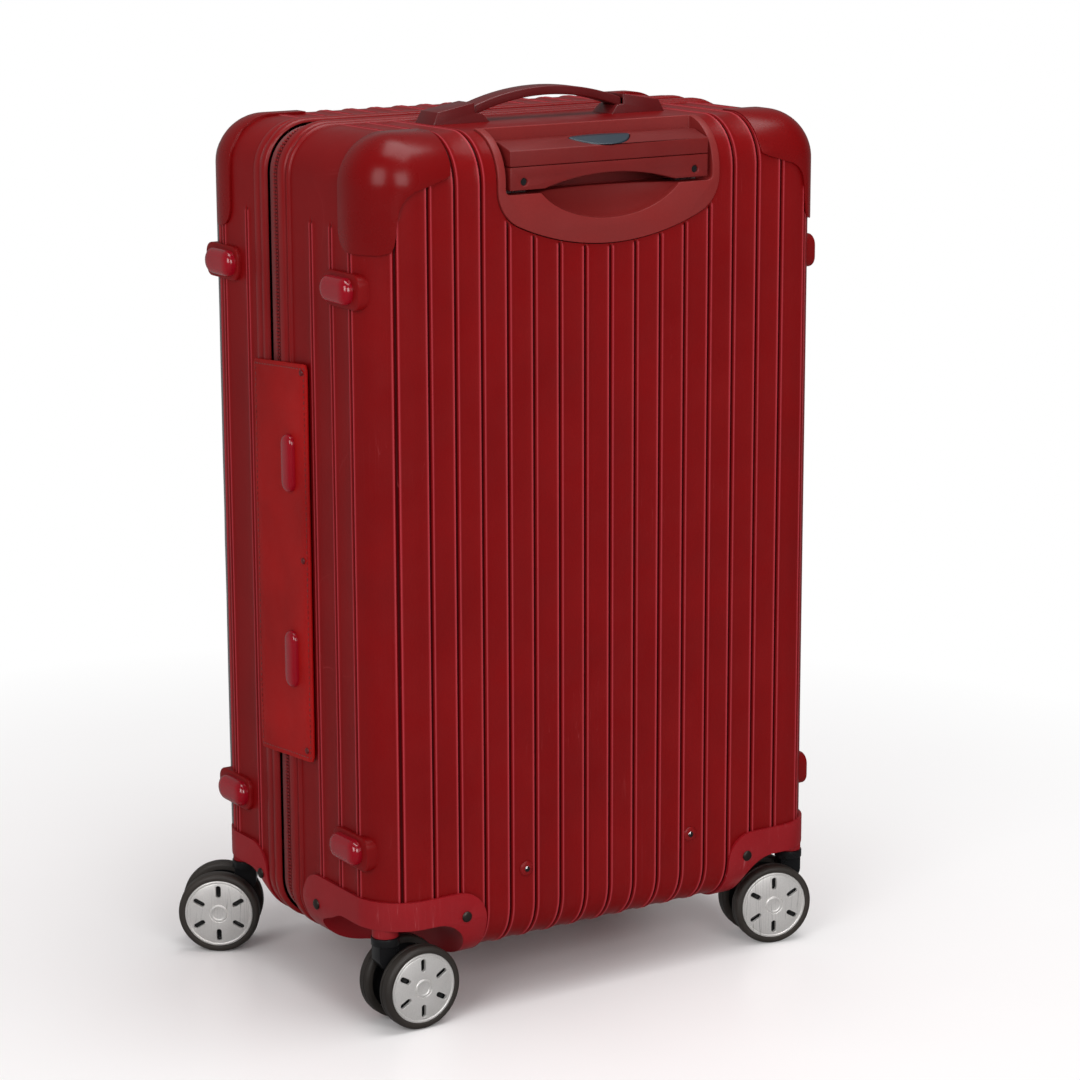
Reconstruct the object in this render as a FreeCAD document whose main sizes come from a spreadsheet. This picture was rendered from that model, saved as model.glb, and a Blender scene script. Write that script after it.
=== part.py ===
import FreeCAD, Part
import Sketcher
import os
import re
from FreeCAD import Placement, Rotation, Vector

# Hard shell suitcase on four double casters: two ribbed half shells joined by a zip, with a
# telescopic pull handle in the back half.  +Z is up, X is the width, Y the depth.  The pull
# handle is on the -Y side, the soft hinge on the -X side, the zip's opening run on the +X side.
# Case coordinates put the middle of the case at x = y = 0 with the floor at z = 0; frame_x and
# frame_y then move every piece so that the origin is the middle of the whole object's box.

doc = FreeCAD.newDocument("hard_case")
sheet = doc.addObject("Spreadsheet::Sheet", "Dims")

dimensions = {
    "frame_x": 8.87, "frame_y": -11.26,
    # the case
    "case_width": 404, "case_depth": 260, "case_top": 666, "case_bottom": 46,
    "corner_radius": 36, "wall": 2.2, "back_lip": 7, "front_lip": 25, "part_line": 16,
    # edge trim, zip and lining
    "trim_proud": 3, "trim_width_back": 16, "trim_width_front": 21, "trim_groove": 1.5,
    "tape": 1.2, "tape_overlap": 10, "chain_width": 3.2, "zip_gap": 0.3,
    "lining_inset": 3.7, "lining": 1.2, "lining_back": 97.5, "lining_edge": 3,
    "well_cover": 124, "well_cover_depth": 46, "well_cover_top": 95, "divider_from_lip": 5,
    "divider": 2,
    # wheel guards and casters
    "stem_x": 189, "stem_y": 110, "well_radius": 61, "well_top": 79, "well_round": 22,
    "well_skin": 2, "guard_proud": 2.6, "guard_end": 113, "guard_reach": 118,
    "guard_top": 101, "guard_round": 24, "guard_front_start": 46,
    "boss_radius": 10, "boss_bottom": 72, "boss_top": 92,
    "stem_radius": 4, "stem_bore": 4.05, "stem_top": 88, "fork_cap_radius": 10.85,
    "fork_cap_bottom": 65.6, "fork_cap_top": 71.5, "fork_thickness": 12, "fork_arm": 8.5,
    "fork_knee": 56, "trail": 20.5, "wheel_radius": 32.3, "tyre_inner": 27.5,
    "tyre_from": 8.7, "tyre_to": 21.6, "tyre_round": 3.2, "axle_radius": 2.5,
    "axle_bore": 2.55, "axle_half": 20, "hub_from": 6.5, "hub_to": 21.4, "hub_boss": 7.6,
    "hub_rim": 24.8, "web_from": 17, "web_to": 19.6, "hub_slots": 6, "slot_from": 13.5,
    "slot_to": 23.1, "slot_width": 3,
    "swivel_back_left": 0, "swivel_back_right": 165.5, "swivel_front_left": 146,
    "swivel_front_right": 150,
    # rivets, feet and the leather hinge cover
    "rivet_x": 130.9, "rivet_z": 81.9, "rivet_side_back": 33.2, "rivet_side_front": 55.8,
    "rivet_side_z": 77.4, "rivet_head": 4, "rivet_head_proud": 1.2, "rivet_shank": 2,
    "foot_proud": 11, "foot_length": 40, "foot_height": 20, "foot_y": 85, "foot_y_front": 93,
    "foot_low": 136.4, "foot_high": 556.7, "hinge_foot_length": 44, "hinge_foot_width": 16,
    "hinge_foot_proud": 4.4, "hinge_foot_y": 8, "hinge_foot_low": 266, "hinge_foot_high": 417,
    "cover_proud": 4.8, "cover_back": 35, "cover_front": 47, "cover_bottom": 184,
    "cover_top": 495,
    # telescopic handle
    "tray_half": 98.5, "tray_low": 580.5, "tray_arc": 199, "tray_corner": 30, "tray_back": 98.5,
    "tray_proud": 1.5, "pocket_half": 92, "pocket_floor": 621, "pocket_back": 100.5,
    "scoop_low": 599, "scoop_arc": 89.8, "scoop_back": 105,
    "tube_x": 76, "tube_y": 114, "tube_wide": 25, "tube_deep": 15, "tube_wall": 1.2,
    "tube_play": 0.4, "tube_bottom": 97, "tube_top": 619, "middle_bottom": 130,
    "middle_top": 620, "inner_bottom": 136, "inner_top": 638,
    "socket_width": 34, "socket_bottom": 92, "socket_top": 127, "socket_back": 103,
    "tube_screw_z": 109.2, "tube_screw_head": 5.8, "tube_screw_proud": 1.7,
    "tube_screw_shank": 2, "tube_screw_end": 118.5,
    "grip_half": 88, "grip_low": 624, "grip_high": 658, "grip_front": 131, "grip_rear": 102,
    "grip_split": 641, "grip_round": 18, "grip_edge": 5, "arch_rise": 8.5, "arch_half": 58,
    "grip_cavity_half": 84, "grip_cavity_low": 638, "grip_cavity_high": 654,
    "grip_cavity_front": 127, "grip_cavity_rear": 106, "grip_screw_z": 630,
    "grip_screw_head": 3, "grip_screw_shank": 1.5, "grip_screw_end": 116.3,
    "button_half": 27, "button_depth": 16, "button_play": 0.4, "button_low": 646,
    "button_high": 659.5, "bar_low": 643, "bar_high": 647, "rod_radius": 1.5,
    "rod_bottom": 300, "spring_radius": 4, "spring_wire": 1,
    # carry handles
    "top_handle_y": 38, "side_handle_y": 64, "side_handle_z": 356, "mount_outer": 104,
    "mount_inner": 54, "mount_width": 27, "mount_height": 16, "mount_ramp": 8, "mount_side_slope": 3,
    "strap_width": 18, "strap_thick": 6, "strap_low": 2, "strap_rise": 16, "strap_tongue": 84,
    "strap_play": 0.4, "strap_lift": 4,
    # combination lock
    "lock_y_low": -36, "lock_y_high": -11, "lock_bottom": 314, "lock_top": 398,
    "lock_proud": 11.5, "lock_round": 4, "dial_x": 209.5, "dial_y": -26, "dial_radius": 6.5,
    "dial_width": 6, "dial_pitch": 14, "dial_play": 0.5, "dial_first": 352,
    "spindle_radius": 1.5, "dial_bore": 1.55, "catch_z": 328, "catch_half": 5.5,
    "catch_low": 206, "catch_high": 215, "catch_play": 0.4,
    # zip sliders
    "slider_z_high": 424, "slider_z_low": 288, "slider_half": 14, "slider_half_width": 5.4,
    "slider_low": 202.5, "slider_high": 208, "ear_high": 213, "ear_thick": 1.6,
    "eye_x": 211, "bridge_radius": 1.2, "eye_bore": 1.28, "eye_radius": 2.2,
    "tab_half_width": 2.5, "tab_thick": 1.6, "tab_length": 33,
}
for row, (alias, value) in enumerate(dimensions.items(), start=1):
    sheet.set("A%d" % row, alias)
    sheet.set("B%d" % row, str(value))
    sheet.setAlias("B%d" % row, alias)
doc.recompute()

caseLeft, caseRight = "-case_width/2", "case_width/2"
caseBack, caseFront = "-case_depth/2", "case_depth/2"
far = 400


def ex(text):
    """Give every alias in an expression its sheet's name."""
    return re.sub(r"[a-z_]+", lambda w: "Dims." + w[0] if w[0] in dimensions else w[0],
                  str(text))


def bind(obj, **sizes):
    for prop, text in sizes.items():
        obj.setExpression(prop, ex(text))
    return obj


def put(obj, x=0, y=0, z=0, turn=None):
    if turn:
        obj.Placement = Placement(Vector(), turn)
    for letter, text in zip("xyz", (x, y, z)):
        obj.setExpression("Placement.Base." + letter, ex(text))
    return obj


def block(name, x, y, z):
    """A box between two expressions on each axis."""
    box = doc.addObject("Part::Box", name)
    sides = zip(("Length", "Width", "Height"), (x, y, z))
    bind(box, **{side: "(%s) - (%s)" % (high, low) for side, (low, high) in sides})
    return put(box, x[0], y[0], z[0])


turns = {"x": Rotation(Vector(0, 1, 0), 90), "y": Rotation(Vector(1, 0, 0), -90), "z": None}


def rod(name, radius, axis, length, x=0, y=0, z=0):
    cylinder = doc.addObject("Part::Cylinder", name)
    bind(cylinder, Radius=radius, Height=length)
    return put(cylinder, x, y, z, turns[axis])


def join(name, *pieces):
    fused = doc.addObject("Part::MultiFuse", name)
    fused.Shapes = list(pieces)
    return fused


def cut(name, base, *tools):
    result = doc.addObject("Part::Cut", name)
    result.Base = base
    result.Tool = tools[0] if len(tools) == 1 else join(name + "_tools", *tools)
    return result


def common(name, first, second):
    result = doc.addObject("Part::Common", name)
    result.Base, result.Tool = first, second
    return result


def mirrored(name, source, normal):
    result = doc.addObject("Part::Mirroring", name)
    result.Source, result.Normal = source, normal
    return result


subParts = []


def subPart(obj, x="frame_x", y="frame_y", z=0, turn=None):
    """Keep a piece under its own name, moved from case coordinates to the object's frame."""
    put(obj, x, y, z, turn)
    subParts.append(obj)
    return obj


def copies(name, pieces, **place):
    """A node of one or more solids, so that one model can stand at several places."""
    node = doc.addObject("Part::Compound", name)
    node.Links = list(pieces)
    return subPart(node, **place)


def edges(shape, test):
    return ["Edge%d" % number for number, edge in enumerate(shape.Edges, start=1)
            if test(edge.CenterOfMass, edge)]


def rounded(body, base, name, radius, test):
    """Round the edges of a body's feature that pass a test, and make that its tip."""
    doc.recompute()
    fillet = body.newObject("PartDesign::Fillet", name)
    fillet.Base = (base, edges(base.Shape, test))
    bind(fillet, Radius=radius)
    body.Tip = fillet
    return fillet


def roundBlock(name, x, y, z, radius, test=lambda middle, edge: True):
    body = doc.addObject("PartDesign::Body", name)
    box = body.newObject("PartDesign::AdditiveBox", name + "_block")
    sides = zip(("Length", "Width", "Height"), (x, y, z))
    bind(box, **{side: "(%s) - (%s)" % (high, low) for side, (low, high) in sides})
    put(box, x[0], y[0], z[0])
    rounded(body, box, name + "_round", radius, test)
    return body


def form(name, inset):
    """The case's rounded outer form, moved in by an inset, or out by a negative one."""
    return roundBlock(name, (f"{caseLeft} + {inset}", f"{caseRight} - ({inset})"),
                      (f"{caseBack} + {inset}", f"{caseFront} - ({inset})"),
                      (f"case_bottom + {inset}", f"case_top - ({inset})"),
                      f"corner_radius - ({inset})")


def revolved(name, points):
    """A solid of revolution about Y from a closed outline of (radius, along) points."""
    body = doc.addObject("PartDesign::Body", name)
    sketch = body.newObject("Sketcher::SketchObject", name + "_outline")
    plane = next(f for f in body.Origin.OriginFeatures if f.Role == "XY_Plane")
    sketch.AttachmentSupport, sketch.MapMode = (plane, [""]), "FlatFace"
    at = [Vector(*(value(text) for text in point), 0) for point in points]
    for start, end in zip(at, at[1:] + at[:1]):
        sketch.addGeometry(Part.LineSegment(start, end))
    for line in range(len(at)):
        sketch.addConstraint(Sketcher.Constraint("Coincident", line, 2, (line + 1) % len(at), 1))
    for line, point in enumerate(points):
        for kind, text in zip(("DistanceX", "DistanceY"), point):
            number = sketch.addConstraint(
                Sketcher.Constraint(kind, -1, 1, line, 1, value(text)))
            if value(text):
                sketch.setExpression("Constraints[%d]" % number, ex(text))
    spin = body.newObject("PartDesign::Revolution", name + "_spin")
    spin.Profile = sketch
    spin.ReferenceAxis = (sketch, ["V_Axis"])
    spin.Angle = 360
    body.Tip = spin
    return body


def value(text):
    """The present value of an expression of the sheet's cells."""
    if text not in values:
        values[text] = float(sheet.evalExpression(ex(text)))
    return values[text]


values = {}


def slab(name, y):
    return block(name, (-far, far), y, (-far, 2 * far))


# Half shells, edge trims, zip tapes and linings ------------------------------------------
outer = form("outer_form", "0")
cavity = form("cavity_form", "wall")
tapeInside = form("tape_inside_form", "(wall + tape)")
liningOuter = form("lining_outer_form", "lining_inset")
liningInner = form("lining_inner_form", "(lining_inset + lining)")
trimOuter = form("trim_outer_form", "(-trim_proud)")
trimGroove = form("trim_groove_form", "(-trim_groove)")
guardOuter = form("guard_outer_form", "(-guard_proud)")
trayOuter = form("tray_outer_form", "(-tray_proud)")

wallSkin = cut("wall_skin", outer, cavity)
trimSkin = cut("trim_skin", trimOuter, outer)
tapeSkin = cut("tape_skin", cavity, tapeInside)
grooveSkin = cut("groove_skin", trimOuter, trimGroove)

halves = {
    "back": dict(sign=-1, body=(-far, "back_lip"), trim=("back_lip - trim_width_back", "back_lip"),
                 tape=("back_lip - tape_overlap", "part_line - zip_gap/2"),
                 chain=("part_line - chain_width", "part_line - zip_gap/2"),
                 bead=("back_lip - trim_width_back/2 - 1", "back_lip - trim_width_back/2 + 1")),
    "front": dict(sign=1, body=("front_lip", far), trim=("front_lip", "front_lip + trim_width_front"),
                  tape=("part_line + zip_gap/2", "front_lip + tape_overlap"),
                  chain=("part_line + zip_gap/2", "part_line + chain_width"),
                  bead=("front_lip + trim_width_front/2 - 1",
                        "front_lip + trim_width_front/2 + 1")),
}


def edgeTrim(half, rows):
    ring = common(half + "_trim_ring", trimSkin, slab(half + "_trim_slab", rows["trim"]))
    bead = common(half + "_trim_bead", grooveSkin, slab(half + "_bead_slab", rows["bead"]))
    return subPart(cut(half + "_edge_trim", ring, bead))


def zipTape(half, rows):
    tape = common(half + "_tape_ring", tapeSkin, slab(half + "_tape_slab", rows["tape"]))
    chain = common(half + "_chain_ring", wallSkin, slab(half + "_chain_slab", rows["chain"]))
    return subPart(join(half + "_zip_tape", tape, chain))


def wellCover(name, side, sign, growth):
    """The box of space that the lining leaves round a wheel well."""
    x = (f"well_cover - {growth}", far) if side > 0 else (-far, f"-well_cover + {growth}")
    y = (f"well_cover_depth - {growth}", far) if sign > 0 else (-far, f"-well_cover_depth + {growth}")
    return block(name, x, y, (0, f"well_cover_top + {growth}"))


def lining(half, rows):
    sign = rows["sign"]
    if sign < 0:
        outerY, innerY = ("-lining_back", "back_lip - lining_edge"), ("-lining_back + lining", far)
    else:
        outerY, innerY = ("front_lip + lining_edge", far), (-far, far)
    bag = []
    for layer, source, y, growth in (("outer", liningOuter, outerY, "0"),
                                     ("inner", liningInner, innerY, "lining")):
        solid = common(f"{half}_lining_{layer}_slab", source, slab(f"{half}_{layer}_slab", y))
        covers = [wellCover(f"{half}_{layer}_cover_{name}", side, sign, growth)
                  for name, side in (("left", -1), ("right", 1))]
        bag.append(cut(f"{half}_lining_{layer}", solid, *covers))
    return subPart(cut(half + "_lining", *bag))


# Wheel guards ----------------------------------------------------------------------------
corners = {"back_left": (-1, -1), "back_right": (1, -1),
           "front_left": (-1, 1), "front_right": (1, 1)}


def well(name, side, sign, growth):
    """The domed space that a caster swings in, about its stem."""
    body = doc.addObject("PartDesign::Body", name)
    drum = body.newObject("PartDesign::AdditiveCylinder", name + "_drum")
    bind(drum, Radius=f"well_radius + {growth}", Height=f"well_top + {growth}")
    put(drum, f"{side}*stem_x", f"{sign}*stem_y")
    rounded(body, drum, name + "_dome", f"well_round + {growth}",
            lambda middle, edge: middle.z > 1 and len(edge.Vertexes) == 1)
    return body


wells = {name: well(name + "_well", *signs, "0") for name, signs in corners.items()}
wellSkins = {name: well(name + "_well_skin", *signs, "well_skin")
             for name, signs in corners.items()}


def rivetRods(half, radius, start, length, tag):
    """One rod at each rivet of a half: two on its face and one on each side."""
    sign = halves[half]["sign"]
    sideY = f"{sign}*rivet_side_{half}"
    rods = []
    for name, side in (("left", -1), ("right", 1)):
        faceStart = f"{sign}*(case_depth/2 + {start}) - {1 if sign > 0 else 0}*({length})"
        sideStart = f"{side}*(case_width/2 + {start}) - {1 if side > 0 else 0}*({length})"
        rods.append(rod(f"{half}_{name}_face_{tag}", radius, "y", length,
                        f"{side}*rivet_x", faceStart, "rivet_z"))
        rods.append(rod(f"{half}_{name}_side_{tag}", radius, "x", length,
                        sideStart, sideY, "rivet_side_z"))
    return rods


shankLength = "guard_proud + wall"
shanks = {half: join(half + "_rivet_shanks",
                     *rivetRods(half, "rivet_shank", "guard_proud", shankLength, "shank"))
          for half in halves}


def guardRivets(half):
    heads = rivetRods(half, "rivet_head", "guard_proud + rivet_head_proud",
                      "rivet_head_proud", "head")
    return subPart(join(half + "_guard_rivets", shanks[half], *heads))


def wheelGuard(name, side, sign):
    """A moulded flange round the corner, with the caster's well and its stem boss."""
    half = "front" if sign > 0 else "back"
    x = ("guard_end", far) if side > 0 else (-far, "-guard_end")
    reach = ("guard_front_start", far) if sign > 0 else (-far, "guard_reach - case_depth/2")
    middleX = value("guard_end")

    def topEnds(middle, edge):
        level = abs(middle.z - value("guard_top")) < 0.1
        return level and (abs(abs(middle.x) - middleX) < 0.1 or abs(middle.y) < 100)

    region = roundBlock(name + "_region", x, reach, (0, "guard_top"), "guard_round", topEnds)
    flange = cut(name + "_flange", common(name + "_skin", guardOuter, region), outer)
    liner = common(name + "_liner", wellSkins[name], outer)
    hollow = cut(name + "_hollow", join(name + "_blank", flange, liner), wells[name])
    boss = rod(name + "_boss", "boss_radius", "z", "well_top + well_skin - boss_bottom",
               f"{side}*stem_x", f"{sign}*stem_y", "boss_bottom")
    socketRod = rod(name + "_socket_rod", "boss_radius", "z", "boss_top - well_top",
                    f"{side}*stem_x", f"{sign}*stem_y", "well_top")
    socket = common(name + "_socket", cavity, socketRod)
    bore = rod(name + "_bore", "stem_bore", "z", "stem_top + 1",
               f"{side}*stem_x", f"{sign}*stem_y", 0)
    return subPart(cut(name + "_wheel_guard", join(name + "_bossed", hollow, boss, socket),
                       bore, shanks[half]))


for name, (side, sign) in corners.items():
    wheelGuard(name, side, sign)
for half in halves:
    guardRivets(half)

# Handle tray, tubes and grip ---------------------------------------------------------------
trayBox = block("tray_box", ("-tray_half", "tray_half"), (-far, "-tray_back"),
                ("tray_low - 5", "case_top + 10"))
trayDisc = rod("tray_disc", "tray_arc", "y", 2 * far, 0, -far, "tray_low + tray_arc")
trayBlank = common("tray_blank", trayBox, trayDisc)
doc.recompute()
trayPrism = doc.addObject("Part::Fillet", "tray_prism")
trayPrism.Base = trayBlank


def trayCorner(middle, edge):
    alongY = abs(edge.tangentAt(edge.FirstParameter).y) > 0.99
    return alongY and middle.z < value("case_top")


trayPrism.Edges = [(int(name[4:]), value("tray_corner"), value("tray_corner"))
                   for name in edges(trayBlank.Shape, trayCorner)]


def tubePair(name, grow, low, high):
    """Two rectangular rods at the tubes' places, grown or shrunk all round."""
    return [block(f"{name}_{tag}",
                  (f"{side}*tube_x - tube_wide/2 - ({grow})", f"{side}*tube_x + tube_wide/2 + ({grow})"),
                  (f"-tube_y - tube_deep/2 - ({grow})", f"-tube_y + tube_deep/2 + ({grow})"),
                  (low, high)) for tag, side in (("left", -1), ("right", 1))]


def pairOf(name, radius, axis, length, y, z):
    return [rod(f"{name}_{tag}", radius, axis, length, f"{side}*tube_x", y, z)
            for tag, side in (("left", -1), ("right", 1))]


trayBody = common("tray_body", trayOuter, trayPrism)
pocket = block("grip_pocket", ("-pocket_half", "pocket_half"), (-far, "-pocket_back"),
               ("pocket_floor", far * 2))
scoop = common("finger_scoop",
               rod("scoop_disc", "scoop_arc", "y", far, 0, f"-scoop_back - {far}",
                   "scoop_low + scoop_arc"),
               block("scoop_limit", (-60, 60), (-far, "-scoop_back"), (0, "pocket_floor + 1")))
subPart(cut("handle_tray", trayBody, pocket, scoop,
            *tubePair("tray_hole", "0", "tray_low - 20", "pocket_floor + 1")))

tubeScrewHoles = pairOf("tube_screw_hole", "tube_screw_shank", "y",
                        "case_depth/2 - tube_screw_end", caseBack, "tube_screw_z")
tubeScrewHeads = pairOf("tube_screw_head_disc", "tube_screw_head", "y", "tube_screw_proud",
                        f"{caseBack} - tube_screw_proud", "tube_screw_z")
subPart(join("tube_screws", *tubeScrewHoles, *tubeScrewHeads))

stageShrink = ["0", "-(tube_wall + tube_play)", "-2*(tube_wall + tube_play)"]
stageEnds = [("tube_bottom", "tube_top"), ("middle_bottom", "middle_top"),
             ("inner_bottom", "inner_top")]
gripScrewHoles = pairOf("grip_screw_shank_rod", "grip_screw_shank", "y",
                        "grip_front - grip_screw_end", "-grip_front", "grip_screw_z")
stageHoles = [tubeScrewHoles, [], gripScrewHoles]
for name, shrink, ends, holes in zip(("outer", "middle", "inner"), stageShrink, stageEnds,
                                     stageHoles):
    solid = tubePair(name + "_rod", shrink, *ends)
    hollow = tubePair(name + "_hollow", shrink + " - tube_wall", -far, 2 * far)
    subPart(cut(name + "_tubes", join(name + "_rods", *solid), *hollow, *holes))

sockets = [block(f"socket_{tag}", (f"{side}*tube_x - socket_width/2", f"{side}*tube_x + socket_width/2"),
                 (f"{caseBack} + wall", "-socket_back"), ("socket_bottom", "socket_top"))
           for tag, side in (("left", -1), ("right", 1))]
subPart(cut("tube_sockets", join("socket_blocks", *sockets),
            *tubePair("socket_hole", "0", "tube_bottom", far), *tubeScrewHoles))

gripBody = roundBlock("grip_form", ("-grip_half", "grip_half"), ("-grip_front", "-grip_rear"),
                      ("grip_low", "grip_high"), "grip_round",
                      lambda middle, edge: middle.z > 657 and middle.y < -130.5)
rounded(gripBody, gripBody.Tip, "grip_form_edges", "grip_edge",
        lambda middle, edge: middle.z < 625 and abs(middle.x) < 1)
archRadius = "(arch_half^2 + arch_rise^2)/(2*arch_rise)"
arch = rod("grip_arch", archRadius, "y", far, 0, -far, f"grip_low + arch_rise - {archRadius}")
gripHollow = block("grip_hollow", ("-grip_cavity_half", "grip_cavity_half"),
                   ("-grip_cavity_front", "-grip_cavity_rear"),
                   ("grip_cavity_low", "grip_cavity_high"))
buttonY = ("-tube_y - button_depth/2", "-tube_y + button_depth/2")
buttonHole = block("button_hole", ("-button_half - button_play", "button_half + button_play"),
                   ("-tube_y - button_depth/2 - button_play", "-tube_y + button_depth/2 + button_play"),
                   ("grip_split", far * 2))
gripHeads = pairOf("grip_screw_head_rod", "grip_screw_head", "y", 3, "-grip_front + 1.5",
                   "grip_screw_z")
gripSinks = pairOf("grip_screw_sink", "grip_screw_head", "y", 5.5, "-grip_front - 1",
                   "grip_screw_z")
gripTop = common("grip_top_blank", gripBody, block("grip_top_limit", (-far, far), (-far, 0),
                                                   ("grip_split", far * 2)))
gripBottom = common("grip_bottom_blank", gripBody, block("grip_bottom_limit", (-far, far),
                                                         (-far, 0), (0, "grip_split")))
subPart(cut("grip_upper_shell", gripTop, gripHollow, buttonHole))
subPart(cut("grip_lower_shell", gripBottom, gripHollow, arch,
            *tubePair("grip_tube_hole", stageShrink[2], 0, "inner_top"),
            *gripScrewHoles, *gripSinks))
shankClear = block("shank_clear", (-far, far), (-far, "-grip_front + 1.5"), (0, 2 * far))
subPart(join("grip_screws", *gripHeads,
             cut("grip_screw_shanks", join("grip_screw_rods", *gripScrewHoles), shankClear)))

buttonBlock = roundBlock("button_block", ("-button_half", "button_half"), buttonY,
                         ("button_low", "button_high"), "4",
                         lambda middle, edge: middle.z > 659 and abs(middle.x) > 26)
subPart(buttonBlock).Label = "grip_button"
releaseBar = block("release_bar", ("-tube_x - 4", "tube_x + 4"), ("-tube_y - 3", "-tube_y + 3"),
                   ("bar_low", "bar_high"))
barSeat = block("release_bar_seat", ("-button_half", "button_half"), (-far, far),
                ("button_low", far * 2))
subPart(join("release_rods", cut("release_bar_cut", releaseBar, barSeat),
             *pairOf("release_rod", "rod_radius", "z", "bar_low - rod_bottom + 1", "-tube_y",
                     "rod_bottom")))
springLength = "bar_low - grip_cavity_low"
subPart(cut("button_spring",
            rod("spring_outside", "spring_radius", "z", springLength, 0, "-tube_y",
                "grip_cavity_low"),
            rod("spring_inside", "spring_radius - spring_wire", "z", springLength, 0, "-tube_y",
                "grip_cavity_low")))

# Shells, trims, tapes and linings, now that everything that pierces them exists ------------
for half, rows in halves.items():
    blank = common(half + "_shell_blank", wallSkin, slab(half + "_slab", rows["body"]))
    holes = [wellSkins[name] for name in corners if name.startswith(half)] + [shanks[half]]
    if half == "back":
        holes += [trayPrism] + tubeScrewHoles
    subPart(cut(half + "_shell", blank, *holes))
    edgeTrim(half, rows)
    zipTape(half, rows)
    lining(half, rows)
subPart(common("divider_panel", liningInner,
               slab("divider_slab", ("front_lip + divider_from_lip",
                                     "front_lip + divider_from_lip + divider"))))


# Feet and the two leaves of the leather hinge cover -----------------------------------------
def pill(name, long, length, width, x, y, z):
    """A foot with round ends; long is the axis that it runs along, x its two faces."""
    half, straight = f"({width})/2", f"(({length}) - ({width}))/2"
    along = (lambda sign: (y, f"{z} + {sign}*{straight}")) if long == "z" else \
            (lambda sign: (f"{y} + {sign}*{straight}", z))
    ends = [rod(f"{name}_end_{tag}", half, "x", f"({x[1]}) - ({x[0]})", x[0], *along(sign))
            for tag, sign in (("low", -1), ("high", 1))]
    reach = {"y": half, "z": straight} if long == "z" else {"y": straight, "z": half}
    bar = block(name + "_bar", x, (f"{y} - {reach['y']}", f"{y} + {reach['y']}"),
                (f"{z} - {reach['z']}", f"{z} + {reach['z']}"))
    return join(name, *ends, bar)


def sideFeet(half, y):
    feet = []
    for tag, x in (("left", (f"{caseLeft} - foot_proud", caseLeft)),
                   ("right", (caseRight, f"{caseRight} + foot_proud"))):
        for level in ("low", "high"):
            feet.append(pill(f"{half}_{tag}_{level}_foot", "y", "foot_length", "foot_height",
                             x, y, "foot_" + level))
    return feet


coverX = (f"{caseLeft} - cover_proud", caseLeft)
hingeFeet = [pill(f"hinge_foot_{level}_pill", "z", "hinge_foot_length", "hinge_foot_width",
                  (f"{coverX[0]} - hinge_foot_proud", coverX[0]), "-hinge_foot_y",
                  "hinge_foot_" + level) for level in ("low", "high")]
subPart(join("back_feet", *sideFeet("back", "-foot_y"), *hingeFeet))
subPart(join("front_side_feet", *sideFeet("front", "foot_y_front")))

coverZ = ("cover_bottom", "cover_top")
trimClear = (f"{caseLeft} - trim_proud", caseLeft)
subPart(cut("hinge_cover_back",
            block("cover_back_leaf", coverX, ("-cover_back", "part_line - zip_gap"), coverZ),
            block("cover_back_relief", trimClear, ("back_lip - trim_width_back", far), coverZ)))
subPart(cut("hinge_cover_front",
            block("cover_front_leaf", coverX, ("part_line + zip_gap", "cover_front"), coverZ),
            block("cover_front_relief", trimClear,
                  (-far, "front_lip + trim_width_front"), coverZ)))


# Carry handles -------------------------------------------------------------------------------
def handleMount():
    """A ramp with a slot in its inner end, standing on z = 0 and facing the handle's middle."""
    ramp = doc.addObject("Part::Wedge", "mount_ramp_block")
    bind(ramp, Xmin="mount_inner", Xmax="mount_outer", Ymin=0, Ymax="mount_height",
         Zmin="-mount_width/2", Zmax="mount_width/2", X2min="mount_inner",
         X2max="mount_outer - mount_ramp", Z2min="-mount_width/2 + mount_side_slope",
         Z2max="mount_width/2 - mount_side_slope")
    ramp.Placement = Placement(Vector(), Rotation(Vector(1, 0, 0), 90))
    slot = block("mount_slot", (0, "strap_tongue + 2"),
                 ("-strap_width/2 - strap_play", "strap_width/2 + strap_play"),
                 ("strap_low - strap_play", "strap_low + strap_thick + strap_lift + strap_play"))
    return cut("handle_mount", ramp, slot)


def handleStrap():
    """An arched strap whose two flat tongues sit in the mounts' slots."""
    rise = "strap_rise"
    radius = f"(mount_inner^2 + {rise}^2)/(2*{rise})"
    centre = f"strap_low + {rise} - {radius}"
    ring = cut("strap_ring",
               rod("strap_outside", f"{radius} + strap_thick", "y", "strap_width",
                   0, "-strap_width/2", centre),
               rod("strap_inside", radius, "y", "strap_width", 0, "-strap_width/2", centre))
    width = ("-strap_width/2", "strap_width/2")
    bow = common("strap_bow", ring, block("strap_limit", ("-mount_inner + 1", "mount_inner - 1"),
                                          width, ("strap_low", far)))
    level = ("strap_low", "strap_low + strap_thick")
    tongues = [block("strap_tongue_left", ("-strap_tongue", "-mount_inner + 3"), width, level),
               block("strap_tongue_right", ("mount_inner - 3", "strap_tongue"), width, level)]
    return join("strap_model", bow, *tongues)


mount = handleMount()
mountPair = [mount, mirrored("handle_mount_other", mount, Vector(1, 0, 0))]
strap = handleStrap()
topPlace = dict(y="frame_y - top_handle_y", z="case_top")
sidePlace = dict(x=f"frame_x + {caseRight}", y="frame_y - side_handle_y", z="side_handle_z",
                 turn=turns["x"])
copies("top_handle_mounts", mountPair, **topPlace)
copies("top_handle_strap", [strap], **topPlace)
copies("side_handle_mounts", mountPair, **sidePlace)
copies("side_handle_strap", [strap], **sidePlace)

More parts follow.
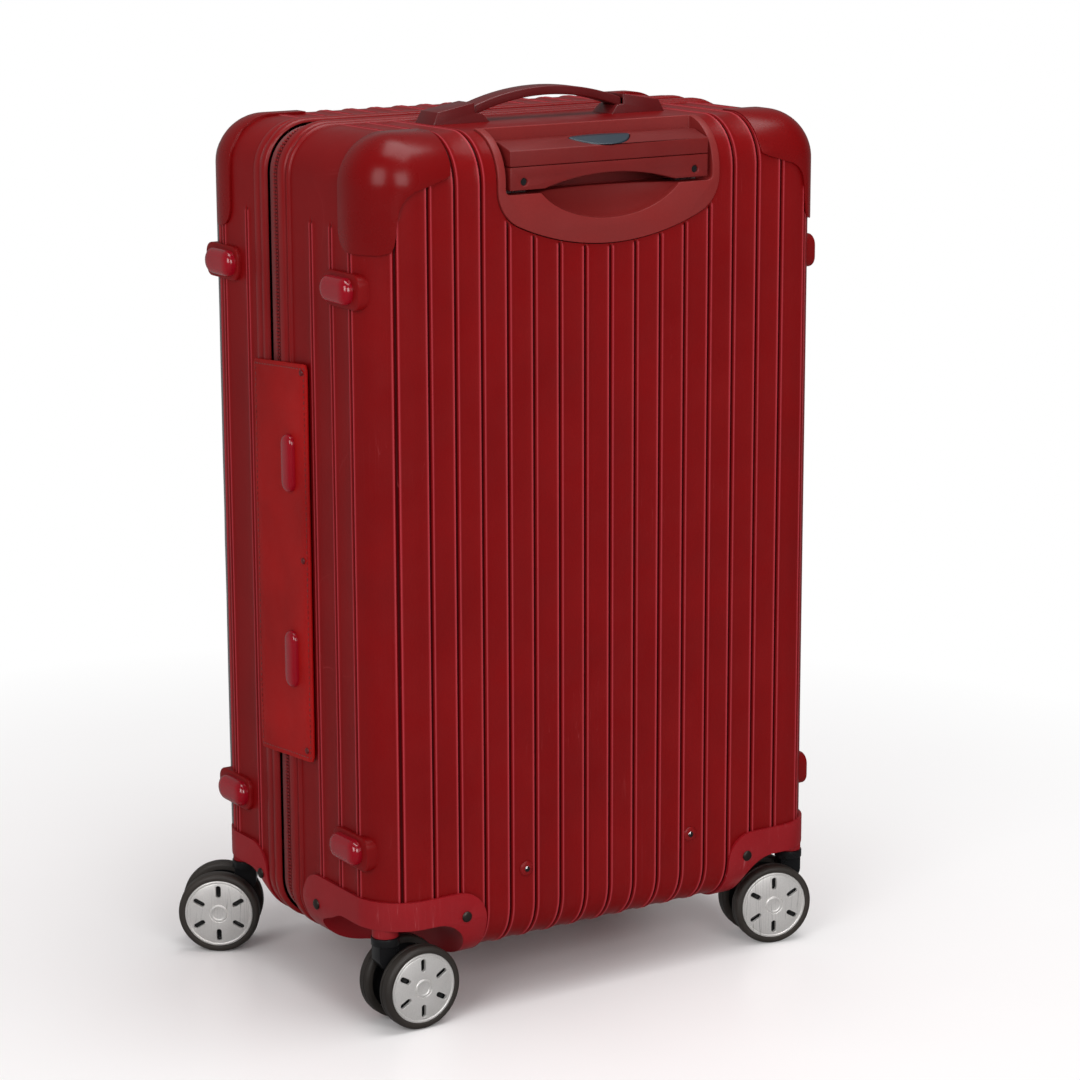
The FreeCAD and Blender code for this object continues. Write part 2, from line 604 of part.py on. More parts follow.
# Combination lock ----------------------------------------------------------------------------
lockBlank = roundBlock("lock_blank", (caseRight, f"{caseRight} + lock_proud"),
                       ("lock_y_low", "lock_y_high"), ("lock_bottom", "lock_top"), "lock_round",
                       lambda middle, edge: middle.x > 213)
dialLevels = {"lower": 0, "middle": 1, "upper": 2}
dialPockets = [block(f"dial_pocket_{name}", (f"{caseRight} + dial_play", far),
                     ("dial_y - dial_radius - dial_play", "dial_y + dial_radius + dial_play"),
                     (f"dial_first + {step}*dial_pitch - dial_width/2 - dial_play",
                      f"dial_first + {step}*dial_pitch + dial_width/2 + dial_play"))
               for name, step in dialLevels.items()]
catchWell = block("catch_well", (f"{caseRight} + 1", far),
                  ("dial_y - catch_half - catch_play", "dial_y + catch_half + catch_play"),
                  ("catch_z - catch_half - catch_play", "catch_z + catch_half + catch_play"))
spindle = rod("dial_spindle", "spindle_radius", "z", "3*dial_pitch", "dial_x", "dial_y",
              "dial_first - dial_pitch/2")
subPart(join("lock_case", cut("lock_body", lockBlank, *dialPockets, catchWell), spindle))
dial = cut("dial_model", rod("dial_disc", "dial_radius", "z", "dial_width", 0, 0, "-dial_width/2"),
           rod("dial_hole", "dial_bore", "z", "dial_width", 0, 0, "-dial_width/2"))
for name, step in dialLevels.items():
    copies("lock_dial_" + name, [dial], x="frame_x + dial_x", y="frame_y + dial_y",
           z=f"dial_first + {step}*dial_pitch")
lockButton = roundBlock("lock_button", ("catch_low", "catch_high"),
                        ("dial_y - catch_half", "dial_y + catch_half"),
                        ("catch_z - catch_half", "catch_z + catch_half"), "1.5",
                        lambda middle, edge: middle.x > 214.9)
subPart(lockButton)

# Zip sliders and pull tabs ------------------------------------------------------------------
sliderBody = block("slider_body", ("slider_low", "slider_high"),
                   ("-slider_half_width", "slider_half_width"), ("-slider_half", "slider_half"))
earGap = "tab_half_width + zip_gap"
ears = [block(f"slider_ear_{tag}", ("slider_high - 1", "ear_high"), span, (-3, 3))
        for tag, span in (("back", (f"-({earGap}) - ear_thick", f"-({earGap})")),
                          ("front", (earGap, f"{earGap} + ear_thick")))]
bridge = rod("slider_bridge", "bridge_radius", "y", f"2*({earGap}) + 2", "eye_x",
             f"-({earGap}) - 1", 0)
slider = join("slider_model", sliderBody, *ears, bridge)
eye = rod("tab_eye", "eye_radius", "y", "2*tab_half_width", "eye_x", "-tab_half_width", 0)
plate = block("tab_plate", ("eye_x - tab_thick/2", "eye_x + tab_thick/2"),
              ("-tab_half_width", "tab_half_width"), ("-tab_length", 0))
tab = cut("tab_model", join("tab_blank", eye, plate),
          rod("tab_eye_bore", "eye_bore", "y", "2*tab_half_width", "eye_x", "-tab_half_width", 0))
for name, level in (("upper", "slider_z_high"), ("lower", "slider_z_low")):
    copies("zip_slider_" + name, [slider], y="frame_y + part_line", z=level)
    copies("pull_tab_" + name, [tab], y="frame_y + part_line", z=level)

# Casters: one model of each piece, turned to where each caster stands -----------------------
forkKnee = rod("fork_knee_disc", "fork_arm", "y", "fork_thickness", 0, "-fork_thickness/2",
               "fork_knee")
forkEnd = rod("fork_end_disc", "fork_arm", "y", "fork_thickness", "trail", "-fork_thickness/2",
              "wheel_radius")
armTurn = Rotation(Vector(0, 0, 1), Vector(value("trail"), 0, value("wheel_radius - fork_knee")))
arm = doc.addObject("Part::Box", "fork_arm_bar")
bind(arm, Length="2*fork_arm", Width="fork_thickness",
     Height="sqrt(trail^2 + (fork_knee - wheel_radius)^2)")
corner = armTurn.multVec(Vector(-value("fork_arm"), 0, 0))
arm.Placement = Placement(Vector(corner.x, -value("fork_thickness")/2,
                                 value("fork_knee") + corner.z), armTurn)
neck = block("fork_neck", ("-fork_arm", "fork_arm"), ("-fork_thickness/2", "fork_thickness/2"),
             ("fork_knee", "fork_cap_bottom + 1"))
cap = rod("fork_cap", "fork_cap_radius", "z", "fork_cap_top - fork_cap_bottom",
          z="fork_cap_bottom")
stem = rod("fork_stem", "stem_radius", "z", "stem_top - fork_cap_top", z="fork_cap_top")
axle = rod("axle_model", "axle_radius", "y", "2*axle_half", 0, "-axle_half", 0)
axleHole = rod("axle_hole", "axle_radius", "y", "fork_thickness", "trail",
               "-fork_thickness/2", "wheel_radius")
fork = cut("fork_model", join("fork_blank", forkKnee, forkEnd, arm, neck, cap, stem), axleHole)

tyreRing = revolved("tyre_ring", [
    ("tyre_inner", "tyre_from"), ("wheel_radius - tyre_round", "tyre_from"),
    ("wheel_radius - tyre_round/4", "tyre_from + tyre_round/4"),
    ("wheel_radius", "tyre_from + tyre_round"), ("wheel_radius", "tyre_to - tyre_round"),
    ("wheel_radius - tyre_round/4", "tyre_to - tyre_round/4"),
    ("wheel_radius - tyre_round", "tyre_to"), ("tyre_inner", "tyre_to")])
hubDisc = revolved("hub_disc", [
    ("axle_bore", "hub_from"), ("hub_boss", "hub_from"), ("hub_boss", "web_from"),
    ("hub_rim", "web_from"), ("hub_rim", "tyre_from + 0.3"), ("tyre_inner", "tyre_from + 0.3"),
    ("tyre_inner", "hub_to - 0.4"), ("hub_rim", "hub_to - 0.4"), ("hub_rim", "web_to"),
    ("hub_boss", "web_to"), ("hub_boss", "hub_to"), ("0", "hub_to"),
    ("0", "axle_half + 0.3"), ("axle_bore", "axle_half + 0.3")])
slots = []
for number in range(int(value("hub_slots"))):
    bar = block(f"hub_slot_{number}", ("slot_from", "slot_to"), (0, far),
                ("-slot_width/2", "slot_width/2"))
    spoke = doc.addObject("Part::Compound", f"hub_slot_turned_{number}")
    spoke.Links = [bar]
    spoke.Placement = Placement(Vector(), Rotation(Vector(0, 1, 0), 30 + number*360/value("hub_slots")))
    slots.append(spoke)
hub = cut("hub_model", hubDisc, *slots)
across = Vector(0, 1, 0)
models = {
    "caster_fork": ([fork], False),
    "caster_axle": ([axle], True),
    "tyres": ([tyreRing, mirrored("tyre_other", tyreRing, across)], True),
    "wheel_hubs": ([hub, mirrored("hub_other", hub, across)], True),
}
for name, (side, sign) in corners.items():
    angle = "swivel_" + name
    for model, (pieces, atAxle) in models.items():
        stand = "trail" if atAxle else "0"
        copies(f"{name}_{model}", pieces,
               x=f"frame_x + {side}*stem_x + {stand}*cos({angle})",
               y=f"frame_y + {sign}*stem_y + {stand}*sin({angle})",
               z="wheel_radius" if atAxle else 0,
               turn=Rotation(Vector(0, 0, 1), value(angle)))

# Check every object, then write one file for each piece --------------------------------------
doc.recompute()
for obj in doc.Objects:
    if "Invalid" in obj.State or "Error" in obj.State:
        raise RuntimeError("%s failed: %s" % (obj.Label, obj.State))
for piece in subParts:
    if piece.Shape.isNull() or not piece.Shape.isValid() or not piece.Shape.Solids:
        raise RuntimeError("%s has no valid solid" % piece.Label)
os.makedirs("parts", exist_ok=True)
whole = FreeCAD.BoundBox()
for piece in subParts:
    piece.Shape.exportStep("parts/%s.step" % piece.Label)
    whole.add(piece.Shape.BoundBox)
print("%d nodes" % len(subParts), whole)
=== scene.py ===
import math
from contextlib import contextmanager
import bmesh
import bpy
from mathutils import Matrix, Vector
from mathutils.noise import noise as smoothNoise


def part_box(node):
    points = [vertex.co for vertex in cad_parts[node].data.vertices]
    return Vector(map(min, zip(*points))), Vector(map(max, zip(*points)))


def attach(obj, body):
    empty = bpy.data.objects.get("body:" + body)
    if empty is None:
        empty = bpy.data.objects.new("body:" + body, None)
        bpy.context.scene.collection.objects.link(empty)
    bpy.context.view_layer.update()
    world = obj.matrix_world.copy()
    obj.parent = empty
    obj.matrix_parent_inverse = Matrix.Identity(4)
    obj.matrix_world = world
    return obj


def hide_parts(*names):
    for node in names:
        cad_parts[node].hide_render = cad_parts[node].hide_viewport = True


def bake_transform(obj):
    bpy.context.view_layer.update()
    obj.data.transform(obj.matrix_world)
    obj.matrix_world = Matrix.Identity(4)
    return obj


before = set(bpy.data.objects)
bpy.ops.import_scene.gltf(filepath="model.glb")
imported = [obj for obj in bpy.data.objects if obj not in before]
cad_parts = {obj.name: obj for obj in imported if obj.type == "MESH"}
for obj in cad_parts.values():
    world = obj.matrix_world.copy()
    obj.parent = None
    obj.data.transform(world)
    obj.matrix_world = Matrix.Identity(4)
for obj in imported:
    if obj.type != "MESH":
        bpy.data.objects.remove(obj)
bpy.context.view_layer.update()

# Case coordinates: x and y from the middle of the case, z from the floor, in metres.
shellLow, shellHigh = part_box("back_shell")
halfDepth = 0.130
caseOrigin = Vector(((shellLow.x + shellHigh.x) / 2, shellLow.y + halfDepth, 0))
case = {
    "halfWidth": (shellHigh.x - shellLow.x) / 2, "halfDepth": halfDepth, "middleZ": 0.356,
    "bottom": shellLow.z, "top": shellHigh.z, "round": 0.036,
    "backLip": 0.007, "frontLip": 0.025, "hingeLine": 0.016,
}
innerX = case["halfWidth"] - case["round"]
innerY = case["halfDepth"] - case["round"]
innerLow, innerHigh = case["bottom"] + case["round"], case["top"] - case["round"]
print("frame loaded:", len(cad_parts), "nodes")


# Mesh helpers ---------------------------------------------------------------

def smoothStep(low, high, value):
    share = min(1, max(0, (value - low) / (high - low)))
    return share * share * (3 - 2 * share)


def addObject(name, data):
    obj = bpy.data.objects.new(name, data)
    bpy.context.scene.collection.objects.link(obj)
    return obj


@contextmanager
def editing(obj):
    work = bmesh.new()
    work.from_mesh(obj.data)
    yield work
    work.to_mesh(obj.data)
    work.free()


def tidyMesh(obj, merge):
    with editing(obj) as work:
        bmesh.ops.remove_doubles(work, verts=work.verts, dist=merge)
        bmesh.ops.dissolve_degenerate(work, edges=work.edges, dist=merge)
        bmesh.ops.recalc_face_normals(work, faces=work.faces)
    return obj


def makeMesh(name, verts, faces, merge=1e-6, origin=caseOrigin):
    mesh = bpy.data.meshes.new(name)
    mesh.from_pydata([Vector(v) + origin for v in verts], [], faces)
    return tidyMesh(addObject(name, mesh), merge)


def settle(obj):
    depsgraph = bpy.context.evaluated_depsgraph_get()
    result = bpy.data.meshes.new_from_object(obj.evaluated_get(depsgraph))
    obj.modifiers.clear()
    obj.data = result
    return obj


def shade(obj, angle):
    with editing(obj) as work:
        for face in work.faces:
            face.smooth = True
        for edge in work.edges:
            edge.smooth = len(edge.link_faces) == 2 and edge.calc_face_angle(0) < math.radians(angle)
    return obj


def carve(obj, cutter, operation="DIFFERENCE"):
    tool = obj.modifiers.new("cut", "BOOLEAN")
    tool.object, tool.operation, tool.solver = cutter, operation, "EXACT"
    settle(obj)
    bpy.data.objects.remove(cutter)
    return obj


def soften(obj, width, segments, angle):
    tool = obj.modifiers.new("edges", "BEVEL")
    tool.width, tool.segments = width, segments
    tool.limit_method, tool.angle_limit = "ANGLE", math.radians(angle)
    tool.use_clamp_overlap = True
    tool.miter_outer = "MITER_ARC"
    settle(obj)
    return shade(obj, 40)


def cadCopy(name, node):
    obj = addObject(name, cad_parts[node].data.copy())
    obj.data.materials.clear()
    with editing(obj) as work:
        bmesh.ops.remove_doubles(work, verts=work.verts, dist=2e-6)
        bmesh.ops.dissolve_limit(work, angle_limit=math.radians(0.5), verts=work.verts,
                                 edges=work.edges)
        for layer in list(work.loops.layers.uv):
            work.loops.layers.uv.remove(layer)
    return obj


def ringFaces(count, rows, first=0, loop=False):
    faces = []
    for row in range(rows if loop else rows - 1):
        near, far = first + row * count, first + (row + 1) % rows * count
        faces += [(near + i, near + (i + 1) % count, far + (i + 1) % count, far + i)
                  for i in range(count)]
    return faces


def gridFaces(wide, rows, first=0):
    starts = (first + row * wide + column for row in range(rows - 1) for column in range(wide - 1))
    return [(a, a + 1, a + 1 + wide, a + wide) for a in starts]


def ringMesh(name, rings, first=True, last=True, loop=False, merge=1e-6, origin=caseOrigin):
    count, total = len(rings[0]), len(rings) * len(rings[0])
    faces = [tuple(range(count))] if first else []
    faces += ringFaces(count, len(rings), loop=loop)
    if last:
        faces.append(tuple(range(total - count, total)))
    return makeMesh(name, [point for ring in rings for point in ring], faces, merge, origin)


# A flat outline drawn out along one axis, from low to high.
def prism(name, outline, low, high, along="Y"):
    def place(u, v, h):
        return {"X": (h, u, v), "Y": (u, h, v), "Z": (u, v, h)}[along]

    return ringMesh(name, [[place(u, v, h) for u, v in outline] for h in (low, high)])


def arcPoints(centreX, centreZ, radius, start, end, steps):
    turns = [math.radians(start + (end - start) * i / steps) for i in range(steps + 1)]
    return [(centreX + radius * math.cos(a), centreZ + radius * math.sin(a)) for a in turns]


def roundRectangle(halfX, halfZ, radius, steps=6):
    points = []
    for sx, sz, start in ((1, 1, 0), (-1, 1, 90), (-1, -1, 180), (1, -1, 270)):
        points += arcPoints(sx * (halfX - radius), sz * (halfZ - radius), radius,
                            start, start + 90, steps)
    return points


def stack(name, outlineAt, levels, place):
    return shade(ringMesh(name, [[place(u, v, height) for u, v in outlineAt(inset)]
                                 for inset, height in levels]), 50)


def joinPieces(name, pieces):
    obj = addObject(name, bpy.data.meshes.new(name))
    with editing(obj) as work:
        for piece in pieces:
            work.from_mesh(piece.data)
    for piece in pieces:
        bpy.data.objects.remove(piece)
    return obj


def moved(obj, matrix):
    obj.data.transform(matrix)
    if matrix.determinant() < 0:
        obj.data.flip_normals()
    return obj


def copyOf(obj, matrix):
    return moved(addObject("copy", obj.data.copy()), matrix)


def finishPiece(obj, body, material, slot=None, replaces=()):
    obj.data.materials.clear()
    obj.data.materials.append(material)
    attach(obj, body)
    if replaces:
        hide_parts(*replaces)


def lathe(name, profile, steps):
    turns = [2 * math.pi * step / steps for step in range(steps)]
    rings = [[(r * math.cos(a), y, r * math.sin(a)) for r, y in profile] for a in turns]
    return ringMesh(name, rings, False, False, True, origin=Vector())


# Materials ------------------------------------------------------------------

class Nodes:
    def __init__(self, name):
        self.material = bpy.data.materials.new(name)
        self.material.use_nodes = True
        self.tree = self.material.node_tree
        self.shader = self.tree.nodes["Principled BSDF"]
        self.place = self.add("ShaderNodeTexCoord").outputs["Object"]

    def feed(self, node, **values):
        for key, value in values.items():
            socket = key.replace("_", " ")
            if isinstance(value, bpy.types.NodeSocket):
                self.tree.links.new(value, node.inputs[socket])
            elif socket in node.inputs:
                node.inputs[socket].default_value = value
            else:
                setattr(node, key, value)
        return node

    def add(self, kind, **values):
        return self.feed(self.tree.nodes.new(kind), **values)

    def link(self, output, socket):
        self.tree.links.new(output, socket)

    def stretched(self, scale, turn=(0, 0, 0)):
        return self.add("ShaderNodeMapping", Scale=scale, Rotation=[math.radians(a) for a in turn],
                        Vector=self.place).outputs["Vector"]

    def noise(self, scale, detail=2, vector=None):
        return self.add("ShaderNodeTexNoise", Scale=scale, Detail=detail,
                        Vector=vector or self.place).outputs["Fac"]

    def ramp(self, value, stops):
        node = self.add("ShaderNodeValToRGB")
        self.link(value, node.inputs["Fac"])
        elements = node.color_ramp.elements
        while len(elements) < len(stops):
            elements.new(0.5)
        for element, (position, colour) in zip(elements, stops):
            element.position = position
            element.color = (*colour, 1) if hasattr(colour, "__len__") else (colour,) * 3 + (1,)
        return node.outputs["Color"]

    def mix(self, share, first, second, blend="MIX"):
        node = self.add("ShaderNodeMix", data_type="RGBA", blend_type=blend)
        for socket, value in ((0, share), (6, first), (7, second)):
            if isinstance(value, bpy.types.NodeSocket):
                self.link(value, node.inputs[socket])
                continue
            plain = (*value, 1) if hasattr(value, "__len__") else value
            node.inputs[socket].default_value = plain
        return node.outputs[2]

    def bump(self, height, strength, distance, normal=None):
        node = self.add("ShaderNodeBump", Strength=strength, Distance=distance, Height=height)
        if normal:
            self.link(normal, node.inputs["Normal"])
        return node.outputs["Normal"]

    def scratches(self, scale, density, turn):
        lines = self.stretched((scale, scale * 0.03, scale * 0.03), turn)
        thin = self.ramp(self.noise(1, 0, lines), ((0.5, 0), (0.5 + density, 1),
                                                  (0.5 + density * 2, 0)))
        patch = self.ramp(self.noise(9, 3), ((0.56, 0), (0.70, 1)))
        return self.mix(1.0, thin, patch, "MULTIPLY")


def shades(colour, down, up):
    return [c * down for c in colour], [min(1, c * up) for c in colour]


def moulded(name, colour, roughness=0.38, grain=1400, grainHeight=0.00006, mottle=0.12,
            wear=0.0, wearTurn=(0, 0, 0), wearColour=(0.55, 0.2, 0.2), specular=0.5,
            coat=0.0, coatRoughness=0.2, metallic=0.0, orange=0.0, paintedHighlight=None):
    n = Nodes(name)
    dark, light = shades(colour, 1 - mottle, 1 + mottle)
    tint = n.ramp(n.noise(14, 3), ((0.3, dark), (0.7, light)))
    speck = n.ramp(n.noise(grain * 0.8, 1), ((0.35, 0.9), (0.65, 1.0)))
    tint = n.mix(0.6, tint, speck, "MULTIPLY")
    gloss = n.ramp(n.noise(36, 4), ((0.3, roughness * 0.86), (0.72, min(1, roughness * 1.16))))
    # Painted light on the grooves: a lighter colour is painted on the raised shoulders as a
    # highlight, and a darker colour is painted in the groove bottoms as shade. Both are read from the
    # relief height.
    if paintedHighlight:
        relief = n.add("ShaderNodeAttribute", attribute_name="relief").outputs["Fac"]
        shoulderHighlight = n.add("ShaderNodeMapRange", From_Min=0.50, From_Max=0.90, Value=relief)
        bottom = n.add("ShaderNodeMapRange", From_Min=-0.15, From_Max=-0.75, Value=relief)
        tint = n.mix(shoulderHighlight.outputs["Result"], tint, paintedHighlight)
        tint = n.mix(bottom.outputs["Result"], tint, [c * 0.25 for c in colour])
    if wear:
        marks = n.scratches(420, wear, wearTurn)
        tint = n.mix(marks, tint, wearColour)
        gloss = n.mix(marks, gloss, (min(1, roughness + 0.2),) * 3)
    normal = n.bump(n.noise(grain, 2), 0.6, grainHeight)
    if orange:
        normal = n.bump(n.noise(120, 2), 0.5, orange, normal)
    n.feed(n.shader, Base_Color=tint, Roughness=gloss, Normal=normal, Metallic=metallic,
           Specular_IOR_Level=specular, Coat_Weight=coat, Coat_Roughness=coatRoughness)
    return n.material


def brushed(name, colour, roughness, stretch=(30, 900, 900)):
    n = Nodes(name)
    lines = n.noise(1, 3, n.stretched(stretch))
    dark, light = shades(colour, 0.9, 1.1)
    tint = n.mix(0.5, n.ramp(lines, ((0.3, dark), (0.7, light))),
                 n.ramp(n.noise(60, 3), ((0.35, dark), (0.7, light))))
    n.feed(n.shader, Base_Color=tint, Normal=n.bump(lines, 0.4, 0.00003), Metallic=1.0,
           Roughness=n.ramp(lines, ((0.3, roughness * 0.8), (0.7, roughness * 1.25))))
    return n.material


def woven(name, colour, threads, height, roughness, sheen=0.2):
    n = Nodes(name)
    across = n.stretched((threads, threads, threads))
    weave = n.add("ShaderNodeTexWave", wave_type="BANDS", bands_direction="DIAGONAL", Scale=0.35,
                  Distortion=1.2, Detail=1.0, Vector=across)
    other = n.add("ShaderNodeTexWave", wave_type="BANDS", bands_direction="Z", Scale=0.5,
                  Distortion=0.6, Vector=across)
    cloth = n.mix(0.5, weave.outputs["Color"], other.outputs["Color"])
    dark, light = shades(colour, 0.6, 1.2)
    tint = n.mix(0.35, n.ramp(cloth, ((0.2, dark), (0.8, light))),
                 n.ramp(n.noise(25, 3), ((0.3, dark), (0.7, light))))
    n.feed(n.shader, Base_Color=tint, Normal=n.bump(cloth, 0.7, height), Roughness=roughness,
           Sheen_Weight=sheen)
    return n.material


def leather(name, colour):
    n = Nodes(name)
    cells = n.add("ShaderNodeTexVoronoi", feature="DISTANCE_TO_EDGE", Scale=900.0, Vector=n.place)
    creases = n.ramp(cells.outputs["Distance"], ((0.0, 0.0), (0.12, 1.0)))
    dark, light = shades(colour, 0.78, 1.2)
    tint = n.ramp(n.noise(11, 4), ((0.3, dark), (0.72, light)))
    n.feed(n.shader, Base_Color=n.mix(0.25, tint, creases, "MULTIPLY"), Specular_IOR_Level=0.12,
           Roughness=n.ramp(n.noise(30, 3), ((0.3, 0.38), (0.7, 0.52))),
           Normal=n.bump(creases, 0.5, 0.00012, n.bump(n.noise(60, 4), 0.4, 0.0006)))
    return n.material


colours = {
    "shell": (0.172, 0.0022, 0.0030), "cap": (0.155, 0.0020, 0.0026),
    "trim": (0.185, 0.0030, 0.0040), "guard": (0.240, 0.0045, 0.0085),
    "tray": (0.200, 0.014, 0.013), "grip": (0.150, 0.0085, 0.0080),
    "foot": (0.250, 0.0020, 0.0090), "hingeLeather": (0.300, 0.0030, 0.0030),
    "zipTape": (0.170, 0.004, 0.005), "handle": (0.105, 0.0050, 0.0060),
    "button": (0.022, 0.036, 0.050), "tyre": (0.030, 0.024, 0.020),
    "fork": (0.010, 0.010, 0.011), "disc": (0.80, 0.78, 0.76), "rivet": (0.060, 0.045, 0.040),
    "steel": (0.62, 0.62, 0.62), "tube": (0.55, 0.55, 0.56), "lining": (0.045, 0.040, 0.042),
    "lock": (0.16, 0.009, 0.010), "dial": (0.020, 0.020, 0.022), "strap": (0.020, 0.020, 0.022),
}
paint = {
    # The shell carries painted groove light: a highlight colour on the groove shoulders and painted
    # shade in the groove bottoms.
    "shell": moulded("redShell", colours["shell"], 0.36, 1500, 0.00005, 0.08, wear=0.004,
                     wearTurn=(12, 70, 20), wearColour=(0.24, 0.020, 0.022), specular=0.13,
                     orange=0.00010, paintedHighlight=(0.36, 0.030, 0.040)),
    "cap": moulded("redCornerCap", colours["cap"], 0.27, 1500, 0.00003, 0.06, specular=0.22,
                   orange=0.00008),
    "trim": moulded("redTrim", colours["trim"], 0.34, 1600, 0.00003, 0.08, specular=0.3),
    "guard": moulded("redGuard", colours["guard"], 0.38, 1100, 0.00006, 0.08, wear=0.006,
                     wearTurn=(10, 24, 8), wearColour=(0.40, 0.09, 0.10), specular=0.3),
    "tray": moulded("redTray", colours["tray"], 0.46, 900, 0.00010, 0.06, specular=0.3),
    "grip": moulded("redGrip", colours["grip"], 0.44, 900, 0.00009, 0.06, specular=0.3),
    "foot": moulded("crimsonFoot", colours["foot"], 0.20, 1800, 0.00002, 0.12, coat=0.6,
                    coatRoughness=0.12),
    "hingeLeather": leather("hingeLeather", colours["hingeLeather"]),
    "stitch": woven("stitchThread", (0.10, 0.004, 0.004), 2600, 0.00005, 0.6),
    "zipTape": woven("zipTape", colours["zipTape"], 1500, 0.00008, 0.75),
    "zipTooth": moulded("zipTooth", (0.20, 0.006, 0.007), 0.4, 2500, 0.00002, 0.1),
    "handle": moulded("darkRedHandle", colours["handle"], 0.36, 1200, 0.00006, 0.08),
    "button": moulded("slateButton", colours["button"], 0.34, 1300, 0.00005, 0.10),
    "tyre": moulded("tyreRubber", colours["tyre"], 0.55, 1400, 0.00010, 0.25, wear=0.02,
                    wearColour=(0.05, 0.045, 0.04)),
    "fork": moulded("blackFork", colours["fork"], 0.30, 1300, 0.00006, 0.15),
    "disc": moulded("silverDisc", colours["disc"], 0.42, 1500, 0.00003, 0.07, wear=0.018,
                    wearTurn=(40, 10, 30), wearColour=(0.17, 0.165, 0.16), metallic=0.55),
    "rivet": moulded("agedRivet", colours["rivet"], 0.42, 1800, 0.00008, 0.35, metallic=0.8),
    "steel": brushed("brushedSteel", colours["steel"], 0.26),
    "tube": brushed("anodisedTube", colours["tube"], 0.30, stretch=(700, 700, 16)),
    "lining": woven("liningCloth", colours["lining"], 1100, 0.00012, 0.85, sheen=0.3),
    "strap": woven("strapWebbing", colours["strap"], 700, 0.0003, 0.7),
    "lock": moulded("redLock", colours["lock"], 0.30, 1500, 0.00004, 0.08),
    "dial": moulded("dialPlastic", colours["dial"], 0.35, 1800, 0.00005, 0.10),
    "zipMetal": brushed("zipMetal", (0.32, 0.31, 0.30), 0.34, stretch=(90, 900, 900)),
    "darkPin": moulded("darkPin", (0.03, 0.03, 0.032), 0.4, 2200, 0.00004, 0.2, metallic=0.6),
    "socket": moulded("socketPlastic", (0.03, 0.03, 0.031), 0.5, 1300, 0.00008, 0.12),
}
print("materials made:", len(paint))


# Half shells ----------------------------------------------------------------

groove = {
    "pitch": 0.0225, "count": 7, "depth": 0.0021, "lip": 0.0012, "reach": 0.0062,
    "mouthIn": 0.0006, "mouthOut": 0.0018,
    "stepsOff": (0, 0.0006, 0.0012, 0.0018, 0.0026, 0.0042, 0.0062),
    "denseFrom": 0.572, "denseStep": 0.0018, "denseRows": 23, "fadeBelow": 0.003, "fadeAbove": 0.001,
    "sideTop": 0.602, "foldTop": 0.612, "foldX": 0.183,
    "backLines": (-0.040, -0.069, -0.096), "frontLines": (0.058, 0.095, 0.106),
    "wall": 0.0024, "trayGap": 0.0030,
}
tray = {
    "half": 0.0985, "low": 0.5805, "arc": 0.199, "corner": 0.030, "back": -0.0985,
    "proud": 0.0015, "gap": 0.0007,
    "pocketHalf": 0.092, "pocketFloor": 0.621, "pocketBack": -0.1005, "pocketRound": 0.004,
}


def trayCorner(grow=0.0):
    arc, half, corner = tray["arc"] + grow, tray["half"] + grow, tray["corner"] + grow
    centreZ = tray["low"] + tray["arc"]
    x = half - corner
    return x, centreZ - math.sqrt((arc - corner) ** 2 - x * x), centreZ, arc, corner, half


def trayDistance(x, z):
    cornerX, cornerZ, centreZ, arc, corner, half = trayCorner()
    x = abs(x)
    if z >= cornerZ:
        return x - half
    if x / (centreZ - z) <= cornerX / (centreZ - cornerZ):
        return math.hypot(x, z - centreZ) - arc
    return math.hypot(x - cornerX, z - cornerZ) - corner


def trayOutline(grow=0.0, top=0.72):
    cornerX, cornerZ, centreZ, arc, corner, half = trayCorner(grow)
    lean = math.degrees(math.atan2(cornerX, centreZ - cornerZ))
    right = arcPoints(cornerX, cornerZ, corner, 0, lean - 90, 12)
    low = arcPoints(0, centreZ, arc, lean - 90, -90 - lean, 40)
    left = arcPoints(-cornerX, cornerZ, corner, -90 - lean, -180, 12)
    return [(half, top)] + right + low[1:-1] + left + [(-half, top)]


def linePositions(low, high, lines, coarse):
    found = {round(low, 6), round(high, 6)}
    steps = max(1, round((high - low) / coarse))
    found |= {round(low + (high - low) * i / steps, 6) for i in range(steps + 1)}
    dense = set()
    for line in lines:
        for off in groove["stepsOff"]:
            for value in (line - off, line + off):
                if low < value < high:
                    dense.add(round(value, 6))
    found = {f for f in found if all(abs(f - d) > 0.0011 for d in dense)} | dense
    found |= {round(low, 6), round(high, 6)}
    return sorted(found)


def grooveHeight(distance, weight):
    distance = abs(distance)
    raised = groove["lip"] * (1 - smoothStep(0, groove["reach"], distance))
    cutIn = groove["depth"] * (1 - smoothStep(groove["mouthIn"], groove["mouthOut"], distance))
    return weight * (raised - cutIn)


def markRelief(obj):
    half = Vector((innerX, innerY, (innerHigh - innerLow) / 2))
    middle = caseOrigin + Vector((0, 0, (innerHigh + innerLow) / 2))
    heights = []
    for vert in obj.data.vertices:
        away = vert.co - middle
        beyond = Vector([abs(a) - h for a, h in zip(away, half)])
        outer = Vector([max(b, 0) for b in beyond]).length + min(max(beyond), 0)
        heights.append(1000 * (outer - case["round"]))
    obj.data.attributes.new("relief", "FLOAT", "POINT").data.foreach_set("value", heights)
    return obj


def nearest(value, lines):
    return min(abs(value - line) for line in lines)


def fadeAt(top, z):
    return 1 - smoothStep(top - groove["fadeBelow"], top + groove["fadeAbove"], z)


backLinesX = [groove["pitch"] * k for k in range(-groove["count"], groove["count"] + 1)]
foldTurn = math.acos((groove["foldX"] - innerX) / case["round"])


